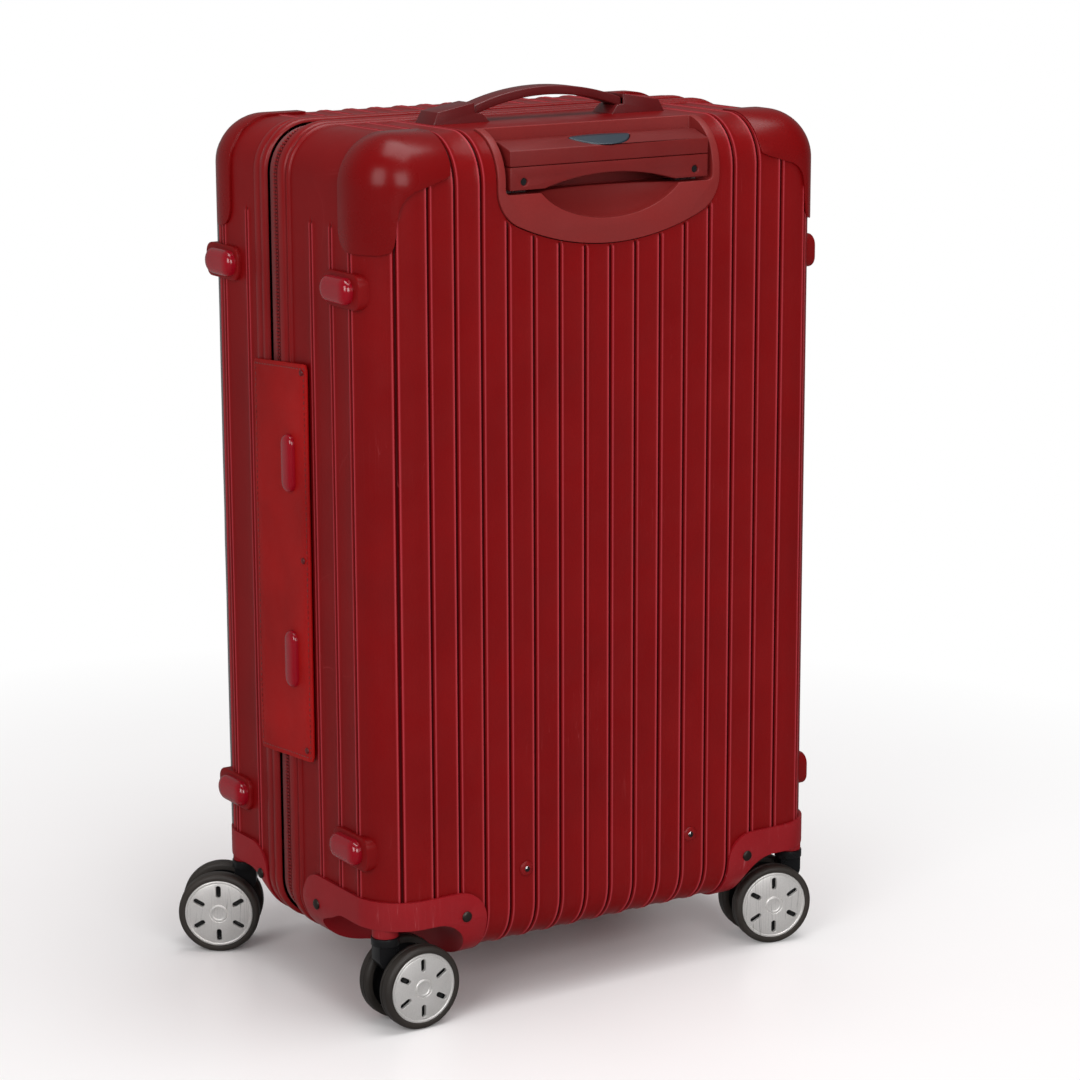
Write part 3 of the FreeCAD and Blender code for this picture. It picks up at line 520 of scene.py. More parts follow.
def shellHalf(name, sign, lip, sideLines):
    reach = case["round"]
    xs = linePositions(-innerX, innerX, backLinesX, 0.03)
    zs = sorted({round(innerLow + (innerHigh - innerLow) * i / 14, 6) for i in range(15)}
                | {round(groove["denseFrom"] + groove["denseStep"] * i, 6)
                   for i in range(groove["denseRows"])})
    stations = [(x, innerLow, 0, -1) for x in xs]
    corner = [math.radians(90 * i / 10) for i in range(1, 10)]
    stations += [(innerX, innerLow, math.sin(a), -math.cos(a)) for a in corner]
    stations += [(innerX, z, 1, 0) for z in zs]
    stations += [(innerX, innerHigh, math.cos(a), math.sin(a)) for a in corner]
    stations += [(x, innerHigh, 0, 1) for x in reversed(xs)]
    stations += [(-innerX, innerHigh, -math.sin(a), math.cos(a)) for a in corner]
    stations += [(-innerX, z, -1, 0) for z in reversed(zs)]
    stations += [(-innerX, innerLow, -math.cos(a), -math.sin(a)) for a in corner]
    straight = linePositions(lip * sign, innerY, [abs(y) for y in sideLines], 0.02)
    turned = {round(math.pi / 2 * i / 10, 5) for i in range(1, 11)}
    for off in groove["stepsOff"]:
        turned |= {round(foldTurn - off / reach, 5), round(foldTurn + off / reach, 5)}
        turned |= {round((abs(y) + way * off - innerY) / reach, 5)
                   for y in sideLines for way in (-1, 1)}
    turned = sorted(t for t in turned if 0.004 < t < math.pi / 2 - 0.01)
    turned = [t for i, t in enumerate(turned) if i == 0 or t - turned[i - 1] > 0.006]
    rows = [(y, 0.0) for y in straight] + [(innerY, t) for t in turned] + [(innerY, math.pi / 2)]

    def surface(px, pz, nx, nz, y, turn, inside):
        across = math.cos(turn)
        normal = Vector((nx * across, sign * math.sin(turn), nz * across))
        point = Vector((px, sign * y, pz)) + reach * normal
        height = 0.0
        if inside:
            return point - normal * groove["wall"]
        if nx == 0 or turn >= math.pi / 2:
            weight = 1.0
            if sign < 0:
                weight = smoothStep(0.0008, groove["trayGap"], trayDistance(point.x, point.z))
                if turn < math.pi / 2 and nz > 0 and abs(point.x) < tray["half"]:
                    weight *= 0 if turn > 0 else smoothStep(-tray["back"], -tray["back"] - 0.004, y)
            height = grooveHeight(nearest(px, backLinesX), weight)
        elif nz == 0:
            distance = nearest(y + reach * turn, [abs(line) for line in sideLines])
            height = grooveHeight(distance, fadeAt(groove["sideTop"], pz))
            height += grooveHeight(reach * (turn - foldTurn), fadeAt(groove["foldTop"], pz))
        return point + normal * height

    count, wide = len(stations), len(xs)
    verts, faces = [], []
    for inside in (False, True):
        first = len(verts)
        for y, turn in rows:
            verts += [surface(*station, y, turn, inside) for station in stations]
        faces += ringFaces(count, len(rows), first) + gridFaces(wide, len(zs), len(verts))
        for z in zs:
            verts += [surface(x, z, 0, 0, innerY, math.pi / 2, inside) for x in xs]
    layer = len(verts) // 2
    faces += [(i, (i + 1) % count, layer + (i + 1) % count, layer + i) for i in range(count)]
    return makeMesh(name, verts, faces, merge=4e-6)


guard = {
    "stemX": 0.189, "stemY": 0.110, "wellRadius": 0.061, "wellTop": 0.079, "wellRound": 0.022,
    "skin": 0.0016, "soft": 0.0012, "boss": 0.020, "bowl": 0.061, "edge": 0.098, "wider": 0.017,
    "fadeLow": 0.064, "fadeHigh": 0.0765, "cutPitch": 0.0078,
    "heights": (0.046, 0.052, 0.058, 0.062, 0.066, 0.069, 0.072, 0.075, 0.0785),
}
corners = {"back_left": (-1, -1), "back_right": (1, -1), "front_left": (-1, 1),
           "front_right": (1, 1)}


def widened(y, z):
    away = guard["stemY"] + y
    if not guard["boss"] < away < guard["edge"]:
        return y
    share = (away - guard["boss"]) / (guard["bowl"] - guard["boss"])
    if away > guard["bowl"]:
        share = (guard["edge"] - away) / (guard["edge"] - guard["bowl"])
    return y + guard["wider"] * share * (1 - smoothStep(guard["fadeLow"], guard["fadeHigh"], z))


def wellForm(name, side, sign):
    radius, top = guard["wellRadius"] + guard["skin"], guard["wellTop"] + guard["skin"]
    bend = guard["wellRound"] + guard["skin"]
    turns = [2 * math.pi * step / 72 for step in range(72)]

    def point(r, z, turn):
        y = sign * guard["stemY"] + r * math.sin(turn)
        return side * guard["stemX"] + r * math.cos(turn), widened(y, z) if sign < 0 else y, z

    profile = [(radius, 0.0)] + arcPoints(radius - bend, top - bend, bend, 0, 90, 8)
    return ringMesh(name, [[point(r, z, turn) for turn in turns] for r, z in profile])


for half, sign, lip, lines in (("back", -1, -case["backLip"], groove["backLines"]),
                               ("front", 1, case["frontLip"], groove["frontLines"])):
    shell = shellHalf(half + "_half_shell", sign, lip, lines)
    tools = [wellForm(name + "_opening", side, sign)
             for name, (side, way) in corners.items() if way == sign]
    if half == "back":
        tools.append(prism("tray_opening", trayOutline(tray["gap"]), -0.2, tray["back"] + 0.0006))
    carve(shell, joinPieces(half + "_openings", tools))
    markRelief(shade(shell, 50))
    finishPiece(shell, half + "_half", paint["shell"], "shell", [half + "_shell"])
    print(shell.name, len(shell.data.polygons), "faces")


# Moulded corner caps over the upper corners ----------------------------------

cap = {"proud": 0.0021, "depth": 0.0476, "soft": 0.0007, "under": 0.0008, "low": 0.584, "bend": 0.016}


def insideForm(limit):
    wide, low, high = case["halfWidth"] - limit, case["bottom"] + limit, case["top"] - limit
    block = prism("inside", [(-wide, low), (wide, low), (wide, high), (-wide, high)],
                  limit - case["halfDepth"], case["halfDepth"] - limit)
    return soften(block, case["round"] - limit, 8, 35)


def cornerPatch(name, side, sign, lift):
    radius = case["round"] + lift
    steps, far = 20, 0.075
    across = [0.0] + [math.radians(90 * i / steps) for i in range(steps + 1)] + [math.pi / 2]
    width = len(across)

    def point(u, v):
        turn, tilt = across[u], across[v]
        normal = Vector((math.cos(turn) * math.cos(tilt), math.sin(tilt),
                         math.sin(turn) * math.cos(tilt)))
        base = Vector((innerX, innerY, innerHigh)) + radius * normal
        if u == 0:
            base.z -= far
        if u == width - 1:
            base.x -= far
        if v == 0:
            base.y -= far
        return Vector((side * base.x, sign * base.y, base.z))

    verts = [point(u, v) for v in range(width - 1) for u in range(width)]
    faces = gridFaces(width, width - 1)
    start = len(verts)
    top = range(start - width, start)
    flat = Vector((innerX, innerY + radius, innerHigh))
    for dx, dz in ((-far, 0), (-far, -far), (0, -far), (0, 0)):
        verts.append(Vector((side * (flat.x + dx), sign * flat.y, flat.z + dz)))
    faces.append((top[0], top[1], start + 3, start + 2))
    for u in range(1, width - 2):
        faces.append((top[u], top[u + 1], start + 3))
    faces.append((top[width - 2], top[width - 1], start, start + 3))
    faces.append((start, start + 1, start + 2, start + 3))
    return makeMesh(name, verts, faces)


def cornerCap(name, side, sign):
    shellPatch = cornerPatch(name, side, sign, cap["proud"])
    face = max(shellPatch.data.polygons, key=lambda f: f.area)
    if face.normal.dot(face.center - Vector((0, 0, 0.4)) - caseOrigin) < 0:
        shellPatch.data.flip_normals()
    tool = shellPatch.modifiers.new("wall", "SOLIDIFY")
    tool.thickness, tool.offset = cap["proud"] + cap["under"], -1
    settle(shellPatch)
    outline = [(0.136, 0.70), (0.1372, 0.6463), (0.1388, 0.6385), (0.1440, 0.6360), (0.1586, 0.6315),
               (0.1680, 0.6290), (0.1743, 0.6251), (0.1782, 0.6205), (0.1803, 0.6155),
               (0.1818, 0.6070), (0.1825, 0.5989), (0.1838, 0.5905), (0.1860, 0.5860),
               (0.1930, 0.5840), (0.215, 0.584), (0.215, 0.70)]
    region = prism(name + "_region", [(side * x, z) for x, z in outline],
                   sign * (case["halfDepth"] + 0.02), sign * (case["halfDepth"] - cap["depth"]))
    nearY = case["halfDepth"] - cap["depth"]
    bowed = [(nearY, 0.72)] + arcPoints(nearY + cap["bend"], cap["low"] + cap["bend"], cap["bend"],
                                        180, 270, 8) + [(0.20, cap["low"]), (0.20, 0.72)]
    rounding = prism(name + "_rounding", [(sign * y, z) for y, z in bowed], -0.30, 0.30, "X")
    carve(region, rounding, "INTERSECT")
    carve(shellPatch, region, "INTERSECT")
    soften(shellPatch, cap["soft"], 2, 50)
    return shellPatch


for half, sign in (("back", -1), ("front", 1)):
    caps = joinPieces(half + "_corner_caps", [cornerCap(f"{half}_cap_{side}", side, sign)
                                              for side in (-1, 1)])
    finishPiece(shade(caps, 50), half + "_half", paint["cap"], "shell")
    print(caps.name, len(caps.data.polygons), "faces")


# Edge trims and zip ----------------------------------------------------------

trim = {
    "back": [(-0.0012, -0.0105), (0.0006, -0.0096), (0.0016, -0.0086), (0.0019, -0.0072),
             (0.0016, -0.0060), (0.0002, -0.0054), (0.0001, -0.0049), (0.0014, -0.0044),
             (0.0026, -0.0034), (0.0030, -0.0015), (0.0030, 0.0030), (0.0026, 0.0052),
             (0.0016, 0.0066), (0.0, 0.0070), (-0.0030, 0.0070), (-0.0030, -0.0040)],
    "front": [(-0.0030, 0.0250), (0.0, 0.0250), (0.0017, 0.0255), (0.0027, 0.0268),
              (0.0030, 0.0285), (0.0029, 0.0315), (0.0020, 0.0332), (0.0006, 0.0340),
              (0.0005, 0.0346), (0.0015, 0.0354), (0.0021, 0.0370), (0.0022, 0.0405),
              (0.0017, 0.0435), (0.0008, 0.0452), (-0.0012, 0.0465), (-0.0030, 0.0400)],
}
zipper = {"tapeInset": 0.0022, "tape": 0.0009, "toothPitch": 0.0027, "toothWide": 0.0017,
          "toothDeep": 0.0024, "toothTall": 0.0018, "toothInset": 0.0010}


def rimStations(steps=14):
    stations = []
    spans = (((-innerX, innerLow), (innerX, innerLow), 270),
             ((innerX, innerLow), (innerX, innerHigh), 0),
             ((innerX, innerHigh), (-innerX, innerHigh), 90),
             ((-innerX, innerHigh), (-innerX, innerLow), 180))
    for (x0, z0), (x1, z1), heading in spans:
        straight = 24
        for i in range(straight + 1):
            share, turn = i / straight, math.radians(heading)
            stations.append((x0 + (x1 - x0) * share, z0 + (z1 - z0) * share,
                             math.cos(turn), math.sin(turn)))
        for i in range(1, steps):
            turn = math.radians(heading + 90 * i / steps)
            stations.append((x1, z1, math.cos(turn), math.sin(turn)))
    return stations


def sweepRim(name, profile):
    rings = [[(px + nx * (case["round"] + n), y, pz + nz * (case["round"] + n)) for n, y in profile]
             for px, pz, nx, nz in rimStations()]
    return shade(ringMesh(name, rings, False, False, True), 60)


for half in ("back", "front"):
    finishPiece(sweepRim(half + "_rim", trim[half]), half + "_half", paint["trim"],
                "edge_trim", [half + "_edge_trim"])
tapeLow, tapeHigh = -zipper["tapeInset"], -zipper["tapeInset"] - zipper["tape"]
tapes = {"back": (-0.002, case["hingeLine"] - 0.0011), "front": (case["hingeLine"] + 0.0011, 0.034)}
for half, (low, high) in tapes.items():
    ribs = [(tapeLow + (0.0002 if i % 2 else 0.0), low + (high - low) * i / 9) for i in range(10)]
    tape = sweepRim(half + "_zip_cloth", ribs + [(tapeHigh, high), (tapeHigh, low)])
    finishPiece(tape, half + "_half", paint["zipTape"], "zip", [half + "_zip_tape"])


def toothShape(name):
    wide, deep, tall = zipper["toothWide"] / 2, zipper["toothDeep"], zipper["toothTall"] / 2
    rings = [[(-x, y, -z), (x, y, -z), (x, y, z), (-x, y, z)] for x, y, z in
             ((wide * 0.8, 0, tall), (wide, deep * 0.55, tall), (wide * 0.55, deep, tall * 0.6))]
    return ringMesh(name, rings, origin=Vector())


def pointsTree(name, shape, material):
    tree = bpy.data.node_groups.new(name, "GeometryNodeTree")
    for way in ("INPUT", "OUTPUT"):
        tree.interface.new_socket("Geometry", in_out=way, socket_type="NodeSocketGeometry")
    pitch = tree.interface.new_socket("Pitch", in_out="INPUT", socket_type="NodeSocketFloat")
    add = tree.nodes.new
    source, sink = add("NodeGroupInput"), add("NodeGroupOutput")
    toCurve, resample = add("GeometryNodeMeshToCurve"), add("GeometryNodeResampleCurve")
    resample.mode = "LENGTH"
    onPoints, realize = add("GeometryNodeInstanceOnPoints"), add("GeometryNodeRealizeInstances")
    setMaterial, info = add("GeometryNodeSetMaterial"), add("GeometryNodeObjectInfo")
    tangent = add("GeometryNodeInputTangent")
    turnA, turnB = add("FunctionNodeAlignEulerToVector"), add("FunctionNodeAlignEulerToVector")
    turnA.axis, turnB.axis, turnB.pivot_axis = "X", "Y", "X"
    info.inputs["Object"].default_value = shape
    setMaterial.inputs["Material"].default_value = material
    outward = add("GeometryNodeInputNamedAttribute")
    outward.data_type = "FLOAT_VECTOR"
    outward.inputs["Name"].default_value = "reach"
    link = tree.links.new
    link(source.outputs["Geometry"], toCurve.inputs["Mesh"])
    link(toCurve.outputs["Curve"], resample.inputs["Curve"])
    link(source.outputs["Pitch"], resample.inputs["Length"])
    link(resample.outputs["Curve"], onPoints.inputs["Points"])
    link(info.outputs["Geometry"], onPoints.inputs["Instance"])
    link(tangent.outputs["Tangent"], turnA.inputs["Vector"])
    link(turnA.outputs["Rotation"], turnB.inputs["Rotation"])
    link(outward.outputs["Attribute"], turnB.inputs["Vector"])
    link(turnB.outputs["Rotation"], onPoints.inputs["Rotation"])
    link(onPoints.outputs["Instances"], realize.inputs["Geometry"])
    link(realize.outputs["Geometry"], setMaterial.inputs["Geometry"])
    link(setMaterial.outputs["Geometry"], sink.inputs["Geometry"])
    return tree, pitch.identifier


def alongPath(name, points, reaches, shape, material, pitch):
    mesh = bpy.data.meshes.new(name)
    edges = [(i, (i + 1) % len(points)) for i in range(len(points))]
    mesh.from_pydata([Vector(p) + caseOrigin for p in points], edges, [])
    mesh.attributes.new("reach", "FLOAT_VECTOR", "POINT").data.foreach_set(
        "vector", [c for r in reaches for c in r])
    obj = addObject(name, mesh)
    tool = obj.modifiers.new("repeat", "NODES")
    tool.node_group, pitchKey = pointsTree(name + "_tree", shape, material)
    tool[pitchKey] = pitch
    return settle(obj)


tooth = toothShape("zip_tooth_shape")
rim = rimStations()
for half, way in (("back", -1), ("front", 1)):
    depth = case["round"] - zipper["toothInset"] - zipper["toothTall"] / 2
    points = [(px + nx * depth, case["hingeLine"] + way * 0.0028, pz + nz * depth)
              for px, pz, nx, nz in rim]
    teeth = alongPath(half + "_zip_teeth", points, [(0, -way, 0)] * len(points), tooth,
                      paint["zipTooth"], zipper["toothPitch"])
    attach(teeth, half + "_half")
    print(teeth.name, len(teeth.data.polygons), "faces")
bpy.data.objects.remove(tooth)


# Wheel guards -----------------------------------------------------------------

for name, (side, sign) in corners.items():
    piece = cadCopy(name + "_guard", name + "_wheel_guard")
    if sign < 0:
        with editing(piece) as work:
            cuts = [((0, 0, z), (0, 0, 1)) for z in guard["heights"]]
            cuts += [((0, guard["boss"] + guard["cutPitch"] * step - guard["stemY"], 0), (0, 1, 0))
                     for step in range(11)]
            for spot, normal in cuts:
                bmesh.ops.bisect_plane(work, geom=work.verts[:] + work.edges[:] + work.faces[:],
                                       plane_co=caseOrigin + Vector(spot), plane_no=normal)
            for vert in work.verts:
                place = vert.co - caseOrigin
                vert.co.y = caseOrigin.y + widened(place.y, place.z)
    tidyMesh(piece, 2e-6)
    soften(piece, guard["soft"], 3, 38)
    finishPiece(piece, name.split("_")[0] + "_half", paint["guard"], "wheel_guard",
                [name + "_wheel_guard"])
print("wheel guards made")


# Casters -----------------------------------------------------------------------

wheel = {
    "radius": 0.0323, "inner": 0.0270, "from": 0.0087, "to": 0.0216, "round": 0.0034,
    "axleZ": 0.0323, "trail": 0.0205, "discRadius": 0.0264, "discFrom": 0.0180, "discTo": 0.0206,
    "slotIn": 0.0130, "slotOut": 0.0229, "slotHalf": 0.0020, "slots": 6,
}
swivel = {"back_left": 0, "back_right": 165.5, "front_left": 146, "front_right": 150}


def tyreModel():
    r, a, b, bend = wheel["radius"], wheel["from"], wheel["to"], wheel["round"]
    outer = arcPoints(r - bend, b - bend, bend, 90, 0, 6)
    inner = arcPoints(r - bend * 0.8, a + bend * 0.8, bend * 0.8, 0, -90, 5)
    groovePoints = [(r, a + 0.0052), (r - 0.0007, a + 0.0049), (r - 0.0007, a + 0.0044),
                    (r, a + 0.0041)]
    profile = [(wheel["inner"], b - 0.0012), (wheel["inner"] + 0.0006, b - 0.0002)] + \
        outer + groovePoints + inner + [(wheel["inner"], a)]
    return shade(lathe("tyre_model", profile, 96), 50)


def discModel():
    r, top = wheel["discRadius"], wheel["discTo"]
    profile = [(0.0, 0.0075), (0.0072, 0.0075), (0.0074, wheel["discFrom"]),
               (r, wheel["discFrom"]), (r + 0.0008, top - 0.0010), (r + 0.0006, top + 0.0002),
               (r - 0.0004, top + 0.0006), (r - 0.0011, top + 0.0005), (r - 0.0014, top),
               (r - 0.0018, top), (r - 0.0020, top + 0.0003), (0.0100, top + 0.0007),
               (0.0078, top + 0.0006), (0.0074, top + 0.0002), (0.0071, top + 0.0002),
               (0.0067, top + 0.0009), (0.0058, top + 0.0011), (0.0050, top + 0.0009),
               (0.0046, top + 0.0004), (0.0030, top + 0.0002), (0.0016, top + 0.0001), (0.0, top)]
    disc = lathe("disc_model", profile, 96)
    span = (wheel["slotOut"] - wheel["slotIn"]) / 2
    middle = (wheel["slotOut"] + wheel["slotIn"]) / 2
    pill = [(middle + x, z) for x, z in
            roundRectangle(span, wheel["slotHalf"], wheel["slotHalf"] * 0.99, 5)]
    cutters = []
    for number in range(wheel["slots"]):
        turn = Matrix.Rotation(math.radians(30 + 60 * number), 4, "Y")
        tool = prism(f"slot_{number}", pill, 0.0165, 0.03)
        tool.data.transform(Matrix.Translation(-caseOrigin))
        cutters.append(moved(tool, turn))
    carve(disc, joinPieces("slot_cutters", cutters))
    return soften(disc, 0.00022, 1, 45)


tyre, disc = tyreModel(), discModel()
backer = shade(lathe("backer_model", [(0.0, 0.0160), (wheel["discRadius"], 0.0160),
                                      (wheel["discRadius"], 0.0166), (0.0, 0.0166)], 48), 30)
for name, (side, sign) in corners.items():
    angle = math.radians(swivel[name])
    stem = caseOrigin + Vector((side * guard["stemX"], sign * guard["stemY"], 0))
    stand = Matrix.Translation(stem) @ Matrix.Rotation(angle, 4, "Z") @ \
        Matrix.Translation((wheel["trail"], 0, wheel["axleZ"]))
    other = stand @ Matrix.Rotation(math.pi, 4, "Z")
    for model, tag, material, slot, node in ((tyre, "tyre_pair", "tyre", "tyre", "tyres"),
                                             (disc, "disc_pair", "disc", "hub", "wheel_hubs"),
                                             (backer, "hub_backs", "fork", "hub", None)):
        pair = joinPieces(f"{name}_{tag}", [copyOf(model, stand), copyOf(model, other)])
        finishPiece(shade(pair, 42), name + "_wheels", paint[material], slot,
                    [f"{name}_{node}"] if node else ())
    fork = cadCopy(name + "_fork", name + "_caster_fork")
    tidyMesh(fork, 2e-6)
    soften(fork, 0.0010, 2, 38)
    finishPiece(fork, name + "_caster", paint["fork"], "fork", [name + "_caster_fork"])
for model in (tyre, disc, backer):
    bpy.data.objects.remove(model)
print("casters made")


# Rivets and feet ------------------------------------------------------------------

rivet = {"radius": 0.0042, "height": 0.0016, "x": 0.1309, "z": 0.0819, "sideZ": 0.0774,
         "sideBack": -0.0332, "sideFront": 0.0558, "sunk": 0.0026}


def domeModel(name, radius, height, steps=20):
    profile = [(0.0, -0.0012), (radius * 0.8, -0.0012), (radius, 0.0),
               (radius * 0.97, height * 0.35), (radius * 0.8, height * 0.75),
               (radius * 0.5, height * 0.95), (0.0, height)]
    return shade(lathe(name, profile, steps), 60)


def domesAt(name, model, spots):
    pieces = []
    for spot, normal in spots:
        turn = Vector((0, 1, 0)).rotation_difference(Vector(normal)).to_matrix().to_4x4()
        pieces.append(copyOf(model, Matrix.Translation(caseOrigin + Vector(spot)) @ turn))
    return joinPieces(name, pieces)


dome = domeModel("rivet_model", rivet["radius"], rivet["height"])
for half, sign, sideY in (("back", -1, rivet["sideBack"]), ("front", 1, rivet["sideFront"])):
    spots = [((side * rivet["x"], sign * (case["halfDepth"] + rivet["sunk"]), rivet["z"]),
              (0, sign, 0)) for side in (-1, 1)]
    spots += [((side * (case["halfWidth"] + rivet["sunk"]), sideY, rivet["sideZ"]), (side, 0, 0))
              for side in (-1, 1)]
    finishPiece(shade(domesAt(half + "_rivets", dome, spots), 60), half + "_half", paint["rivet"],
                "dark_pin", [half + "_guard_rivets"])

foot = {
    "length": 0.040, "height": 0.020, "backY": -0.085, "frontY": 0.093,
    "low": 0.1364, "high": 0.5567, "padLength": 0.051, "padHeight": 0.026, "padProud": 0.0032,
    "padRound": 0.0085, "padSunk": 0.019, "padOff": 0.0025,
}
footLevels = [(0.0, -0.001), (0.0, 0.0055), (0.0004, 0.0072), (0.0014, 0.0088), (0.0030, 0.0100),
              (0.0050, 0.0107), (0.0075, 0.01095), (0.0097, 0.0110)]


def stadium(halfLong, halfShort):
    def outline(inset):
        return roundRectangle(halfLong - inset, halfShort - inset,
                              max(0.00015, halfShort - inset - 0.0001), 10)
    return outline


def softRectangle(halfLong, halfShort, bend):
    return lambda inset: roundRectangle(halfLong - inset, halfShort - inset,
                                        max(0.0005, bend - inset), 8)


for half, y in (("back", foot["backY"]), ("front", foot["frontY"])):
    feet, pads = [], []
    for side in (-1, 1):
        for level in ("low", "high"):
            z, face = foot[level], side * case["halfWidth"]
            feet.append(stack("foot", stadium(foot["length"] / 2, foot["height"] / 2), footLevels,
                              lambda u, v, h: (face + side * h, y + u, z + v)))
            sunk, proud = foot["padSunk"], foot["padProud"]
            middle = y + math.copysign(foot["padOff"], y)
            padLevels = [(0, -sunk), (0, proud - 0.0010), (0.0003, proud - 0.0003),
                         (0.0010, proud)]
            pads.append(stack("pad", softRectangle(foot["padLength"] / 2, foot["padHeight"] / 2,
                                                   foot["padRound"]), padLevels,
                              lambda u, v, h: (face + side * h, middle + u, z + v)))
    node = "back_feet" if half == "back" else "front_side_feet"
    pads = carve(joinPieces(half + "_foot_pads", pads), insideForm(0.0016))
    finishPiece(shade(pads, 50), half + "_half", paint["shell"], "shell")
    if half == "back":
        for z in (0.266, 0.417):
            feet.append(stack("hinge_foot", stadium(0.022, 0.008),
                              [(0.0, -0.0016), (0.0, 0.0012), (0.0004, 0.0022), (0.0012, 0.0031),
                               (0.0024, 0.0038), (0.0042, 0.0043), (0.0077, 0.0044)],
                              lambda u, v, h: (-0.2068 - h, -0.008 + v, z + u)))
    finishPiece(shade(joinPieces(half + "_feet_caps", feet), 60), half + "_half", paint["foot"],
                "foot", [node])
print("feet made")


# Hinge cover: one leather sheet over the fold ---------------------------------------

cover = {"back": -0.035, "front": 0.047, "low": 0.184, "high": 0.495, "slant": 0.006,
         "proud": 0.0046, "thick": 0.0016, "corner": 0.004, "sag": 0.0007,
         "stitchIn": 0.0035, "stitchPitch": 0.0042, "trimmed": 0.003}


def coverPoint(y, z):
    share = (y - cover["back"]) / (cover["front"] - cover["back"])
    edge = min(share, 1 - share) * (cover["front"] - cover["back"])
    ends = min(z - cover["low"], cover["high"] - z)
    out = cover["proud"] - cover["sag"] * math.sin(math.pi * share) ** 2
    out -= 0.0008 * (1 - smoothStep(0, 0.010, edge))
    out += 0.0004 * smoothNoise(Vector((y * 40, z * 14, 1.7))) + \
        0.0006 * (1 - smoothStep(0, 0.012, ends)) * math.sin(math.pi * share)
    wave = 0.0005 * smoothNoise(Vector((z * 12, 3.1, y * 5)))
    return (-case["halfWidth"] - out, y + wave, z - cover["slant"] * share + 0.5 * cover["slant"])


def coverGrid():
    low, high = cover["low"] + cover["trimmed"], cover["high"] - cover["trimmed"]
    bend, columns, rows, verts = cover["corner"], 37, 111, []
    for row in range(rows):
        z = low + (high - low) * row / (rows - 1)
        for column in range(columns):
            y = cover["back"] + (cover["front"] - cover["back"]) * column / (columns - 1)
            near = min(y - cover["back"], cover["front"] - y)
            cutBack = bend - math.sqrt(max(0, bend ** 2 - max(0, bend - near) ** 2))
            verts.append(coverPoint(y, max(low + cutBack, min(high - cutBack, z))))
    return verts, gridFaces(columns, rows)


leatherSheet = makeMesh("hinge_cover", *coverGrid(), merge=1e-5)
largest = max(leatherSheet.data.polygons, key=lambda f: f.area)
if largest.normal.x > 0:
    leatherSheet.data.flip_normals()
wall = leatherSheet.modifiers.new("thickness", "SOLIDIFY")
wall.thickness, wall.offset = cover["thick"], -1
settle(leatherSheet)
soften(leatherSheet, 0.0004, 2, 50)
leatherSheet.data.materials.append(paint["hingeLeather"])
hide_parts("hinge_cover_back", "hinge_cover_front")
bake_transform(leatherSheet)


def stitchShape(name):
    profile = [(0.0001, -0.0013), (0.00034, -0.0009), (0.0004, 0.0), (0.00034, 0.0009),
               (0.0001, 0.0013)]
    turns = [math.radians(60 * i) for i in range(6)]
    rings = [[(x, r * math.cos(a), r * math.sin(a) * 0.6) for a in turns] for r, x in profile]
    return ringMesh(name, rings, origin=Vector())


inset = cover["stitchIn"]
yLow, yHigh = cover["back"] + inset, cover["front"] - inset
zLow, zHigh = cover["low"] + cover["trimmed"] + inset, cover["high"] - cover["trimmed"] - inset
border = [(yLow, zLow + (zHigh - zLow) * i / 60) for i in range(61)]
border += [(yLow + (yHigh - yLow) * i / 20, zHigh) for i in range(1, 21)]
border += [(yHigh, zHigh - (zHigh - zLow) * i / 60) for i in range(1, 61)]
border += [(yHigh - (yHigh - yLow) * i / 20, zLow) for i in range(1, 20)]
stitch = stitchShape("stitch_shape")
seamPoints = [Vector(coverPoint(y, z)) + Vector((-0.0001, 0, 0)) for y, z in border]
stitches = alongPath("hinge_cover_stitching", seamPoints, [(0, 0, 1)] * len(seamPoints), stitch,
                     paint["stitch"], cover["stitchPitch"])
bpy.data.objects.remove(stitch)
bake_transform(stitches)
smallDome = domeModel("small_rivet", 0.0025, 0.0011, 16)
spots = [(Vector(coverPoint(y, z)), (-1, 0, 0)) for y, z in
         ((-0.0285, 0.4855), (-0.0265, 0.3430), (-0.0265, 0.1955))]
finishPiece(shade(domesAt("hinge_cover_rivets", smallDome, spots), 60), "back_half", paint["handle"],
            "dark_pin")
bpy.data.objects.remove(smallDome)
print("hinge cover made")


# Handle tray with its finger scoop ---------------------------------------------------

scoop = {"x": 0.0700, "y": 0.0260, "z": 0.0420, "centreZ": 0.6410, "steps": 64, "rings": 32}


def formBlock(name, lift, low, high):
    radius = case["round"] + lift
    front = innerY + radius
    first = math.asin((-tray["back"] - innerY) / radius)
    arc = [(-innerY - radius * math.sin(a), innerHigh + radius * math.cos(a))
           for a in (first + (math.pi / 2 - first) * i / 16 for i in range(17))]
    return prism(name, arc + [(-front, 0.55), (tray["back"], 0.55)], low, high, "X")


def ellipsoid(name, centre, sizes, steps, rows):
    tilts = [math.pi * row / rows for row in range(rows + 1)]
    turns = [2 * math.pi * step / steps for step in range(steps)]
    rings = [[(centre[0] + sizes[0] * math.sin(tilt) * math.cos(turn),
               centre[1] + sizes[1] * math.cos(tilt),
               centre[2] + sizes[2] * math.sin(tilt) * math.sin(turn)) for turn in turns]
             for tilt in tilts]
    return ringMesh(name, rings, False, False)


